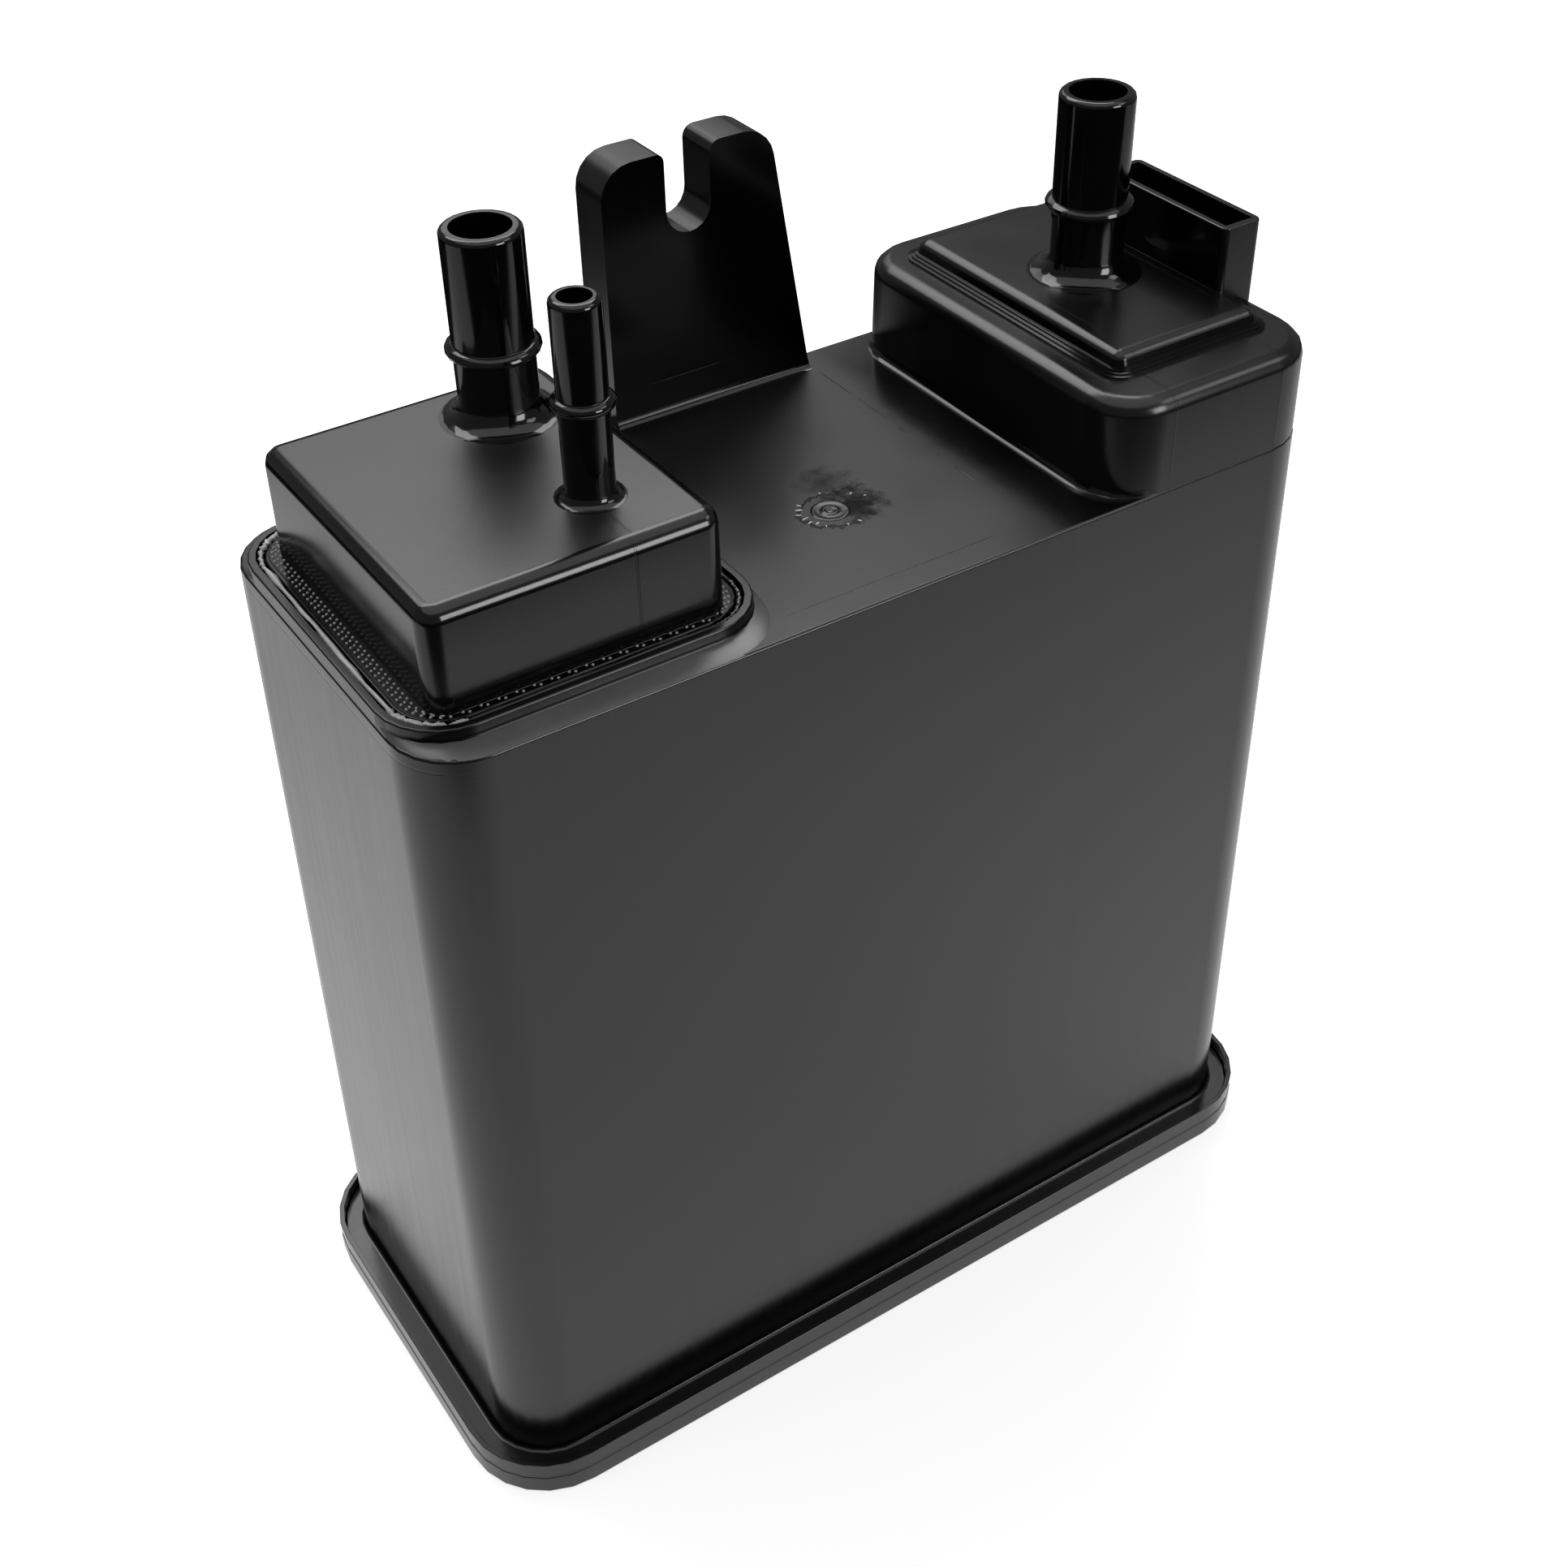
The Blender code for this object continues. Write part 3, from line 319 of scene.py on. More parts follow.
# %% The ends of the table
# Each end: its direction, where the veil starts and where it is full, and how dark it gets
TABLE_ENDS = [((0.0, -1.0), 0.33, 0.44, 1.0), ((-0.493, -0.870), 0.325, 0.375, 1.0), ((0.0, 1.0), 0.013, 0.28, 0.36),
              ((0.0, 1.0), 0.38, 0.47, 1.0), ((1.0, 0.0), 0.45, 0.85, 1.0), ((-1.0, 0.0), 0.60, 0.90, 1.0)]
VEIL_RADIUS, VEIL_LIFT = 2.9, 0.0005
VEIL_START, VEIL_REACH, VEIL_CURVE, VEIL_LEAST = 0.08, 1.1, 1.15, 0.12
bpy.ops.object.select_all(action="DESELECT")
bpy.ops.mesh.primitive_circle_add(vertices=96, radius=VEIL_RADIUS, fill_type="NGON", location=(0, 0, VEIL_LIFT))
nodes, links, shader = only_reflected(bpy.context.object, "table_veil")
place = nodes.new("ShaderNodeTexCoord").outputs["Object"]
away = vector_node(nodes, links, "LENGTH", place).outputs["Value"]
away = math_node(nodes, "SUBTRACT", away, VEIL_START, links)
away = math_node(nodes, "DIVIDE", away, VEIL_REACH, links, clamp=True)
away = math_node(nodes, "POWER", away, VEIL_CURVE, links)
veil = math_node(nodes, "ADD", away, VEIL_LEAST, links)
for (x, y), start, full, dark in TABLE_ENDS:
    past = vector_node(nodes, links, "DOT_PRODUCT", place, (x, y, 0.0)).outputs["Value"]
    past = math_node(nodes, "SUBTRACT", past, start, links)
    past = math_node(nodes, "DIVIDE", past, full - start, links, clamp=True)
    veil = math_node(nodes, "MAXIMUM", veil, math_node(nodes, "MULTIPLY", past, dark, links), links)
links.new(veil, shader.inputs["Alpha"])
print("ends of the table:", len(TABLE_ENDS))

# %% [markdown]
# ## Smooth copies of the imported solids
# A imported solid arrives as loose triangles, each with its own corners, so it shades in facets. The mouldings could be
# modelled again, but then they might stray from the solids. So a copy is merged, its flat areas are joined back into
# single faces, and only edges sharper than 32 degrees stay hard. A weighted normal modifier lets the big flat faces
# keep their own direction, so a fillet doesn't bend the light on the wall beside it. Hard edges of a real moulding are
# never quite sharp: a bevel of a fifth of a millimetre gives them their thin line of light.

# %% Make a smooth copy
EDGE_BREAK = 0.22 * MM
MERGE_UNDER = 0.004 * MM
FLAT_UNDER, SMOOTH_UNDER, BEVEL_OVER = (math.radians(degrees) for degrees in (0.3, 32, 38))


def smooth_copy(node, name):
    """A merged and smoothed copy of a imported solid, which stands for it."""
    only(frame["nodes"][node])
    bpy.ops.object.duplicate()
    piece = bpy.context.object
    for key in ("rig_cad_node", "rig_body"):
        if key in piece:
            del piece[key]
    piece.parent = None
    piece.name = piece.data.name = name
    piece.data.materials.clear()
    bpy.ops.object.mode_set(mode="EDIT")
    bpy.ops.mesh.select_all(action="SELECT")
    bpy.ops.mesh.customdata_custom_splitnormals_clear()
    bpy.ops.mesh.remove_doubles(threshold=MERGE_UNDER)
    bpy.ops.mesh.dissolve_limited(angle_limit=FLAT_UNDER)
    bpy.ops.mesh.select_all(action="DESELECT")
    bpy.ops.object.mode_set(mode="OBJECT")
    bpy.ops.object.shade_smooth_by_angle(angle=SMOOTH_UNDER)
    rounding = piece.modifiers.new("edge_break", "BEVEL")
    rounding.width, rounding.segments = EDGE_BREAK, 2
    rounding.limit_method, rounding.angle_limit = "ANGLE", BEVEL_OVER
    rounding.use_clamp_overlap, rounding.miter_outer = True, "MITER_ARC"
    rounding.harden_normals = False
    flats = piece.modifiers.new("keep_flats", "WEIGHTED_NORMAL")
    flats.weight, flats.keep_sharp = 100, True
    apply_modifiers(piece)
    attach(piece, "root")
    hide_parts(node)
    print(name, "faces:", faces_of(piece))
    return piece


body = smooth_copy("canister_body", "moulded_body")
cover = smooth_copy("port_cover", "welded_port_cover")
tray = smooth_copy("bottom_cover", "bottom_tray")

# %% [markdown]
# ## Shared effects
# Every black surface here shares a few effects at different strengths. They could be wired up again in each material,
# but one node group with named inputs is made once and used by all. The mould's skin is a fine grain over slow patches.
# Draw streaks are scratches that the steel leaves along the wall as the moulding is pulled off, so they are noise
# stretched along Z. A placed mark is a soft box mask at a place and size, which is enough for seams of mould inserts,
# sink lines and flow lines. A ring mark is the print of a round pin, or with ragged edges a smear.


# %% Node group helpers
def new_group(name, inputs, outputs):
    """An empty node group with its sockets made."""
    group = bpy.data.node_groups.new(name, "ShaderNodeTree")
    for label, kind, value in inputs:
        socket = group.interface.new_socket(name=label, in_out="INPUT", socket_type="NodeSocket" + kind)
        socket.default_value = value
    for label in outputs:
        group.interface.new_socket(name=label, in_out="OUTPUT", socket_type="NodeSocketFloat")
    given, out = group.nodes.new("NodeGroupInput").outputs, group.nodes.new("NodeGroupOutput").inputs
    return group, group.nodes, group.links, given, out


def noise_node(nodes, links, vector, scale, detail=2.0, roughness=0.5):
    """A noise texture read at a vector."""
    node = nodes.new("ShaderNodeTexNoise")
    sockets = [node.inputs[label] for label in ("Vector", "Scale", "Detail", "Roughness")]
    feed(links, sockets, (vector, scale, detail, roughness))
    return node.outputs["Fac"]


# %% Mould skin and draw streaks
mould_skin, nodes, links, given, out = new_group(
    "mould_skin", [("Vector", "Vector", (0, 0, 0)), ("Grain Scale", "Float", 1800.0), ("Patch Scale", "Float", 60.0)],
    ["Grain", "Patches"])
links.new(noise_node(nodes, links, given["Vector"], given["Grain Scale"], 2.0, 0.6), out["Grain"])
links.new(noise_node(nodes, links, given["Vector"], given["Patch Scale"], 3.0, 0.55), out["Patches"])

draw_streaks, nodes, links, given, out = new_group(
    "draw_streaks", [("Vector", "Vector", (0, 0, 0)), ("Streaks Scale", "Float", 420.0), ("Length", "Float", 0.012)],
    ["Streaks"])
stretch = nodes.new("ShaderNodeCombineXYZ")
stretch.inputs["X"].default_value = stretch.inputs["Y"].default_value = 1.0
links.new(given["Length"], stretch.inputs["Z"])
longer = vector_node(nodes, links, "MULTIPLY", given["Vector"], stretch.outputs[0])
links.new(noise_node(nodes, links, longer.outputs[0], given["Streaks Scale"], 4.0, 0.7), out["Streaks"])
print("groups:", [group.name for group in bpy.data.node_groups])

# %% Placed marks and ring marks
TEAR_SCALE = 420.0                               # how fine the edge of a ragged ring is torn
placed_mark, nodes, links, given, out = new_group(
    "placed_mark", [("Vector", "Vector", (0, 0, 0)), ("Centre", "Vector", (0, 0, 0)),
                    ("Half Size", "Vector", (1, 1, 1)), ("Sharpness", "Float", 1.0)], ["Mark"])
offset = vector_node(nodes, links, "SUBTRACT", given["Vector"], given["Centre"])
away = vector_node(nodes, links, "ABSOLUTE", offset.outputs[0])
parts = nodes.new("ShaderNodeSeparateXYZ")
links.new(vector_node(nodes, links, "DIVIDE", away.outputs[0], given["Half Size"]).outputs[0], parts.inputs[0])
widest = math_node(nodes, "MAXIMUM", parts.outputs[0], parts.outputs[1], links)
widest = math_node(nodes, "MAXIMUM", widest, parts.outputs[2], links)
inside = math_node(nodes, "SUBTRACT", 1.0, widest, links)
links.new(math_node(nodes, "MULTIPLY", inside, given["Sharpness"], links, clamp=True), out["Mark"])

ring_mark, nodes, links, given, out = new_group(
    "ring_mark", [("Vector", "Vector", (0, 0, 0)), ("Centre", "Vector", (0, 0, 0)), ("Radius", "Float", 0.002),
                  ("Half Width", "Float", 0.0003), ("Ragged", "Float", 0.0)], ["Ring", "Disc"])
offset = vector_node(nodes, links, "SUBTRACT", given["Vector"], given["Centre"])
reach = vector_node(nodes, links, "LENGTH", offset.outputs[0]).outputs["Value"]
torn = math_node(nodes, "SUBTRACT", noise_node(nodes, links, given["Vector"], TEAR_SCALE, 4.0, 0.65), 0.5, links)
reach = math_node(nodes, "ADD", reach, math_node(nodes, "MULTIPLY", torn, given["Ragged"], links), links)
from_ring = math_node(nodes, "ABSOLUTE", math_node(nodes, "SUBTRACT", reach, given["Radius"], links), None, links)
thin = math_node(nodes, "DIVIDE", from_ring, given["Half Width"], links)
links.new(math_node(nodes, "SUBTRACT", 1.0, thin, links, clamp=True), out["Ring"])
wide = math_node(nodes, "DIVIDE", reach, given["Radius"], links)
links.new(math_node(nodes, "SUBTRACT", 1.0, wide, links, clamp=True), out["Disc"])
print("groups:", [group.name for group in bpy.data.node_groups])

# %% [markdown]
# ## The black nylon
# All three mouldings are the same black nylon. What differs is the steel they were pressed against: the walls came off
# a satin steel, the cap's top off an eroded one, and the ports off a polished core, so each gets its own grain depth
# and roughness. One builder makes them all, so that they stay one plastic. It adds the grain, the streaks and the
# marks to the height of a bump, mixes the patches, the streaks and the marks into the roughness, and tints the colour
# by the patches.

# %% Build a moulded finish
NYLON_IOR, LEAST_ROUGH = 1.53, 0.03
DARK_TINT, LIGHT_TINT = (0.80, 0.80, 0.82), (1.25, 1.25, 1.28)


def nylon(name, shade, rough, grain=(1800, 0.004), patches=(60, 0.05), streaks=(420, 0.0, 0.0), marks=(), rings=(),
          shine=0.5):
    """A black moulded plastic. Heights are in mm, and each change is one of roughness. grain is (scale, height),
    patches (scale, change), streaks (scale, height, change), a mark (centre, half size, sharpness, height, change),
    and a ring (centre, radius, half width, height, change, raggedness)."""
    material, nodes, links, shader = new_material(name)
    place = nodes.new("ShaderNodeTexCoord").outputs["Object"]

    def effect(group, **values):
        node = nodes.new("ShaderNodeGroup")
        node.node_tree = group
        links.new(place, node.inputs["Vector"])
        for label, value in values.items():
            node.inputs[label.replace("_", " ")].default_value = value
        return node.outputs

    def plus(total, socket, share):
        """The sum of a total and a share of a socket."""
        if not share:
            return total
        return math_node(nodes, "ADD", math_node(nodes, "MULTIPLY", socket, share, links), total, links)

    def centred(socket):
        return math_node(nodes, "SUBTRACT", socket, 0.5, links)

    skin = effect(mould_skin, Grain_Scale=grain[0], Patch_Scale=patches[0])
    height = math_node(nodes, "MULTIPLY", skin["Grain"], grain[1], links)
    gloss = plus(rough, centred(skin["Patches"]), patches[1] * 2)
    if streaks[1] or streaks[2]:
        drawn = effect(draw_streaks, Streaks_Scale=streaks[0])["Streaks"]
        height = plus(height, drawn, streaks[1])
        gloss = plus(gloss, centred(drawn), streaks[2] * 2)
    for centre, half, sharp, tall, change in marks:
        mark = effect(placed_mark, Centre=[c * MM for c in centre], Half_Size=[h * MM for h in half], Sharpness=sharp)
        height = plus(height, mark["Mark"], tall)
        gloss = plus(gloss, mark["Mark"], change)
    for centre, radius, half, tall, change, ragged in rings:
        mark = effect(ring_mark, Centre=[c * MM for c in centre], Radius=radius * MM, Half_Width=half * MM,
                      Ragged=ragged * MM)
        height = plus(height, mark["Ring"], tall)
        gloss = plus(gloss, mark["Disc"], change)
    links.new(math_node(nodes, "MAXIMUM", gloss, LEAST_ROUGH, links), shader.inputs["Roughness"])

    tint = nodes.new("ShaderNodeMix")
    tint.data_type = "RGBA"
    tint.inputs["A"].default_value = (*(shade * part for part in DARK_TINT), 1)
    tint.inputs["B"].default_value = (*(shade * part for part in LIGHT_TINT), 1)
    links.new(skin["Patches"], tint.inputs["Factor"])
    links.new(tint.outputs["Result"], shader.inputs["Base Color"])
    bump = nodes.new("ShaderNodeBump")
    bump.inputs["Strength"].default_value = 1.0
    bump.inputs["Distance"].default_value = MM
    links.new(height, bump.inputs["Height"])
    links.new(bump.outputs["Normal"], shader.inputs["Normal"])
    shader.inputs["Specular IOR Level"].default_value = shine
    shader.inputs["IOR"].default_value = NYLON_IOR
    return material


# %% [markdown]
# ### The finishes of the body
# The walls carry the streaks of the draw and, on the front, the faint sink line of the wall inside. The deck is satin.
# It is glossier beside the dome and duller in front of the tab, with a dull smear round the gate. The dome is shinier,
# and two seams of a mould insert run over it. The lip and the tab show darker than the deck in the photograph, so
# their shaders are set to reflect less. Painting a map for each piece could do all this too, but marks that are placed
# by number need no image and stay sharp from near by.

# %% Finishes of the body
DOME_SEAM = 0.15                                 # height of the seams on the dome, in mm
wall_satin = nylon(
    "wall_satin", 0.003, 0.22, grain=(1500, 0.006), patches=(28, 0.03), streaks=(520, 0.007, 0.08),
    marks=[((42.5, -47, 110), (4.5, 6, 150), 1.0, -0.03, 0.0),
           ((60, 0, 203.6), (52, 60, 0.35), 1.0, -0.03, 0.05),
           ((-104.5, 0, 201.3), (6, 60, 0.30), 1.0, -0.05, 0.0)])
deck_satin = nylon(
    "deck_satin", 0.0012, 0.33, shine=0.45, grain=(1900, 0.006), patches=(45, 0.10),
    marks=[((50, 0, 204), (16, 60, 3), 1.6, 0.0, -0.22),
           ((8, 22, 204), (30, 26, 3), 1.0, 0.0, 0.16)],
    rings=[((7.5, -14.5, 204), 7.5, 0.2, 0.0, 0.8, 16.0), ((6.5, -3.5, 204), 8.0, 0.2, 0.0, 0.4, 14.0),
           ((1.3, -13.5, 204), 6.3, 0.45, 0.16, 0.25, 5.0)])
lip_satin = nylon("lip_satin", 0.0015, 0.28, shine=0.22, grain=(1900, 0.006), patches=(60, 0.05))
# The ledge's pale grey is painted light: it stands in for the light the ledge reflects, not a colour of its own.
ledge_painted_light = nylon("ledge_painted_light", 0.085, 0.32, shine=0.8, grain=(1900, 0.012), patches=(90, 0.10))
deck_gloss = nylon(
    "deck_gloss", 0.0025, 0.25, grain=(1700, 0.004), patches=(45, 0.05),
    marks=[((62.2, 0, 215), (0.30, 60, 16), 3.0, DOME_SEAM, 0.0),
           ((90.9, 0, 215), (0.30, 60, 16), 3.0, DOME_SEAM, 0.0)])
tab_gloss = nylon(
    "tab_gloss", 0.0012, 0.15, shine=0.15, grain=(900, 0.004), patches=(50, 0.04), streaks=(500, 0.003, 0.03),
    marks=[((1.7, 38, 212.2), (11.5, 4, 0.35), 2.0, -0.04, 0.0)])
print("finishes so far:", [m.name for m in bpy.data.materials if m.name.endswith(("satin", "gloss"))])

# %% [markdown]
# ### The finishes of the cover, the ports and the tray
# The cap's top has a fine eroded grain, a short flow line that starts at the small port, and the ring of an ejector
# pin. Its walls and edges are smoother. The ports are polished. The tray is satin, with one line round its outer band.
# Melt that was pressed out of the weld is glossy. Along the left side of the weld, and on the studs, the photograph has
# pale specks, so these two finishes get a pale grey: painted highlights. That is a fit to the picture, and not the
# plastic's own colour.

# %% Finishes of the cover, the ports and the tray
cap_grain = nylon(
    "cap_grain", 0.004, 0.36, shine=0.78, grain=(2400, 0.022), patches=(70, 0.05),
    marks=[((-54.0, -27, 228), (0.25, 8.5, 4), 2.5, -0.05, 0.0)],
    rings=[((-57.5, -34.0, 228), 1.5, 0.35, 0.05, 0.0, 0.0)])
cap_gloss = nylon(
    "cap_gloss", 0.003, 0.17, grain=(1900, 0.005), patches=(70, 0.04),
    marks=[((-54.8, -36, 218), (0.25, 3, 12), 2.5, -0.05, 0.0)])
# The flange is set darker than the cover's other black finishes: painted shade for the trap between the cap's wall and
# the lip.
flange_gloss_painted_shade = nylon("flange_gloss_painted_shade", 0.0008, 0.12, shine=0.3, grain=(1300, 0.008), patches=(120, 0.06))
port_gloss = nylon("port_gloss", 0.002, 0.11, grain=(900, 0.003), patches=(90, 0.05), streaks=(600, 0.003, 0.03))
tray_satin = nylon(
    "tray_satin", 0.003, 0.20, grain=(1300, 0.007), patches=(40, 0.05),
    marks=[((0, 0, 5.6), (130, 70, 0.3), 3.0, -0.06, 0.0)])
weld_melt = nylon("weld_melt", 0.003, 0.16, grain=(2500, 0.02), patches=(300, 0.08))
# These two pale greys are painted highlights, not the colour of the melt or of the studs.
flash_painted_highlight = nylon("flash_painted_highlight", 0.5, 0.25, grain=(2500, 0.04), patches=(700, 0.15))
stud_painted_highlight = nylon("stud_painted_highlight", 0.36, 0.14, grain=(2500, 0.01), patches=(500, 0.12))
print("finishes:", len(bpy.data.materials))

# %% [markdown]
# ### A finish for each face
# A moulding is one piece, yet its faces came off different steels. Cutting it up would open gaps, so each face is given
# its material by its place and by the way it faces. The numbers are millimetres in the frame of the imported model.

# %% Give each face the finish of its steel
TANK_PORT, PURGE_PORT, VENT_PORT = (-52.735, 19.425), (-53.535, -17.125), (77.61, 2.2)
DECK = 204.0


def finish_faces(piece, finishes, choose):
    """Gives a piece its materials; choose says which one from a face's centre and normal, in mm."""
    for material in finishes:
        piece.data.materials.append(material)
    counts = [0] * len(finishes)
    for face in piece.data.polygons:
        face.material_index = finishes.index(choose(face.center / MM, face.normal))
        counts[face.material_index] += 1
    print(piece.name, {m.name: c for m, c in zip(finishes, counts)})


def on_port(c, port, reach, low):
    return c.z > low and math.hypot(c.x - port[0], c.y - port[1]) < reach


def body_finish(c, n):
    """The ports and feet are polished, the tab and the steps of the pad glossy, and the lip and the deck satin."""
    if on_port(c, VENT_PORT, 13.5, 229.4):
        return port_gloss
    if c.z < DECK - 1.4:
        return wall_satin
    if -104.0 < c.x < -27.0 and abs(c.y) < 45.0 and DECK + 0.05 < c.z < DECK + 2.0:
        return lip_satin
    tab_front = c.x < 34.0 and n.y < -0.9 and 38.0 < c.y < 41.0
    pocket_left = c.x > 92.0 and n.x < -0.9 and c.z > 229.5
    pad_steps = c.x > 54.0 and 225.2 < c.z < 227.6
    if tab_front or pocket_left or pad_steps:
        return tab_gloss
    tab_foot = c.x < 34.0 and 36.0 < c.y < 40.0
    dome_foot = 45.0 < c.x < 50.5 and abs(c.y) < 46.0
    if DECK + 0.02 < c.z < DECK + 2.5 and (tab_foot or dome_foot):
        return port_gloss
    return deck_satin if c.z < DECK + 0.05 and n.z > 0.99 else deck_gloss


def cover_finish(c, n):
    """The ports are polished, the cap's top is grained and its walls are smooth; below them is the flange."""
    if on_port(c, TANK_PORT, 12.5, 228.5) or on_port(c, PURGE_PORT, 7.5, 228.5):
        return port_gloss
    if c.z > 228.2 and n.z > 0.999:
        return cap_grain
    return cap_gloss if c.z > 207.4 else flange_gloss_painted_shade


finish_faces(body, [wall_satin, deck_satin, lip_satin, deck_gloss, port_gloss, tab_gloss], body_finish)
finish_faces(cover, [cap_grain, cap_gloss, port_gloss, flange_gloss_painted_shade], cover_finish)
finish_faces(tray, [tray_satin], lambda c, n: tray_satin)

# %% [markdown]
# ## Weld flash round the cover
# The cover is welded into the raised lip. A hot plate melts both edges, and the melt that is pressed out sets as an
# uneven bead in the trap between them. The cover's own edge could be roughened instead, but a bead of its own leaves
# the cover as it is. A rounded rectangle is drawn as an edge loop, turned into a thin tube, and pushed in and out by
# two sizes of clouds. A second thread of melt lies along the left side and is cut off by a slanting plane past the
# front corner; its pale grey is a painted highlight. A third loop, thin and even, is the hairline round the flange.

# %% A rounded loop and a bead on it
LOOP_STEPS = 8


def rounded_loop(low, high, radius, z):
    """An edge loop in the shape of a rounded rectangle, in mm."""
    middle = ((low[0] + high[0]) / 2 * MM, (low[1] + high[1]) / 2 * MM, z * MM)
    bpy.ops.object.select_all(action="DESELECT")
    bpy.ops.mesh.primitive_plane_add(size=1, location=middle)
    loop = bpy.context.object
    loop.scale = ((high[0] - low[0]) * MM, (high[1] - low[1]) * MM, 1)
    settle(loop, "loop")
    bpy.ops.object.mode_set(mode="EDIT")
    bpy.ops.mesh.select_all(action="SELECT")
    bpy.ops.mesh.bevel(offset=radius * MM, offset_type="OFFSET", segments=LOOP_STEPS, affect="VERTICES")
    bpy.ops.mesh.select_all(action="SELECT")
    bpy.ops.mesh.delete(type="ONLY_FACE")
    bpy.ops.object.mode_set(mode="OBJECT")
    return loop


def clouds(piece, size, depth, name):
    """Pushes a mesh in and out along its normals by a cloud texture, both in mm."""
    texture = bpy.data.textures.new(name, "CLOUDS")
    texture.noise_scale, texture.noise_depth = size * MM, 2
    push = piece.modifiers.new(name, "DISPLACE")
    push.texture, push.strength, push.mid_level = texture, depth * MM, 0.5
    push.texture_coords = "LOCAL"


def bead_on(loop, name, radius, lumps, material):
    """Turns an edge loop into a bead, as uneven as lumps says."""
    only(loop)
    bpy.ops.object.mode_set(mode="EDIT")
    bpy.ops.mesh.select_all(action="SELECT")
    bpy.ops.mesh.subdivide(number_cuts=11 if lumps else 1)
    bpy.ops.object.mode_set(mode="OBJECT")
    bpy.ops.object.convert(target="CURVE")
    bead = bpy.context.object
    bead.data.bevel_depth, bead.data.bevel_resolution = radius * MM, 2
    bead.data.use_fill_caps = True
    bpy.ops.object.convert(target="MESH")
    bead = settle(bpy.context.object, name)
    if lumps:
        clouds(bead, 0.8, radius * lumps, name + "_lumps")
        clouds(bead, 6.0, radius * lumps * 0.6, name + "_swell")
        apply_modifiers(bead)
    bpy.ops.object.shade_smooth()
    bead.data.materials.clear()
    bead.data.materials.append(material)
    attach(bead, "root")
    print(name, "faces:", faces_of(bead))
    return bead


# %% Lay the beads
# Each bead: its loop's low and high corner, corner radius and height, then its own radius, lumps and finish
BEADS = {"cover_weld_flash": ((-101.70, -38.10), (-30.85, 38.10), 10.9, 206.45, 0.60, 1.3, weld_melt),
         # The second thread's pale grey finish is a painted highlight.
         "flash_with_painted_highlight": ((-101.75, -38.15), (-30.80, 38.15), 10.9, 206.80, 0.50, 2.3, flash_painted_highlight),
         "flange_hairline": ((-99.95, -37.12), (-32.60, 37.12), 9.4, 206.98, 0.13, 0.0, flange_gloss_painted_shade)}
beads = {name: bead_on(rounded_loop(low, high, corner, z), name, radius, lumps, material)
         for name, (low, high, corner, z, radius, lumps, material) in BEADS.items()}
only(beads["flash_with_painted_highlight"])
bpy.ops.object.mode_set(mode="EDIT")
bpy.ops.mesh.select_all(action="SELECT")
bpy.ops.mesh.bisect(plane_co=(-0.0915, -0.0380, 0), plane_no=(1, -0.25, 0), clear_outer=True, use_fill=True)
bpy.ops.object.mode_set(mode="OBJECT")
print("torn flash, faces left:", faces_of(beads["flash_with_painted_highlight"]))

# %% [markdown]
# ## The sloping ledge under the lip
# In the photograph the ledge in front of the lip is lighter than the deck. It is made to fall by about ten degrees
# from the lip's foot to the edge of the box, and its pale grey colour is painted light, for the light that it reflects.
# Both are guesses from its brightness, not measured.
# A bump could only pretend that slope, so it is modelled, as a skirt on the lip's outline. Each ring is pulled out and
# down from the one before, about a point on the left wall, because there the lip stands flush with the box and the
# ledge runs out.

# %% Pull the ledge out of the lip's outline
LIP_LOW, LIP_HIGH, LIP_CORNER, LEDGE_TOP = (-104.24, -40.64), (-28.32, 40.64), 13.5, 204.9
# Each ring: how far it is pulled out at the front and back, and at the right end, and its height
LEDGE = [(1.0, 0.4, 204.70), (3.0, 0.8, 204.33), (4.6, 1.1, 204.04), (5.15, 1.2, 203.90)]
ledge = rounded_loop(LIP_LOW, LIP_HIGH, LIP_CORNER, LEDGE_TOP)
bpy.ops.object.mode_set(mode="EDIT")
bpy.ops.mesh.select_mode(type="EDGE")
bpy.ops.mesh.select_all(action="SELECT")
wide, deep, level = LIP_HIGH[0] - LIP_LOW[0], LIP_HIGH[1], LEDGE_TOP
for front, side, height in LEDGE:
    bpy.ops.mesh.extrude_edges_move(TRANSFORM_OT_translate={"value": (0, 0, (height - level) * MM)})
    new_wide, new_deep = LIP_HIGH[0] - LIP_LOW[0] + side, LIP_HIGH[1] + front
    bpy.ops.transform.resize(value=(new_wide / wide, new_deep / deep, 1),
                             center_override=(LIP_LOW[0] * MM, 0, height * MM))
    wide, deep, level = new_wide, new_deep, height
bpy.ops.mesh.select_all(action="SELECT")
bpy.ops.mesh.normals_make_consistent(inside=False)
bpy.ops.object.mode_set(mode="OBJECT")
bpy.ops.object.shade_smooth()
ledge = settle(ledge, "sloping_ledge")
# Its pale grey finish is painted light.
ledge.data.materials.append(ledge_painted_light)
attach(ledge, "root")
print("ledge faces:", faces_of(ledge), "up:", sum(face.normal.z > 0 for face in ledge.data.polygons))

# %% [markdown]
# ## Knurling on the cover's flange
# The flange carries rows of small studs. A bump in the material would lie flat where the flange is seen from the side,
# so they are modelled. One stud is a low dome of a few dozen faces, and copies of it, each with its own mesh, stand in
# rows along rounded rectangles and are joined. Along the left and right sides there are three full rows, and along the
# front and back two rows with every other stud left out.

# %% Places along a row
CORNER_TURN = 6                                  # degrees from point to point round a corner


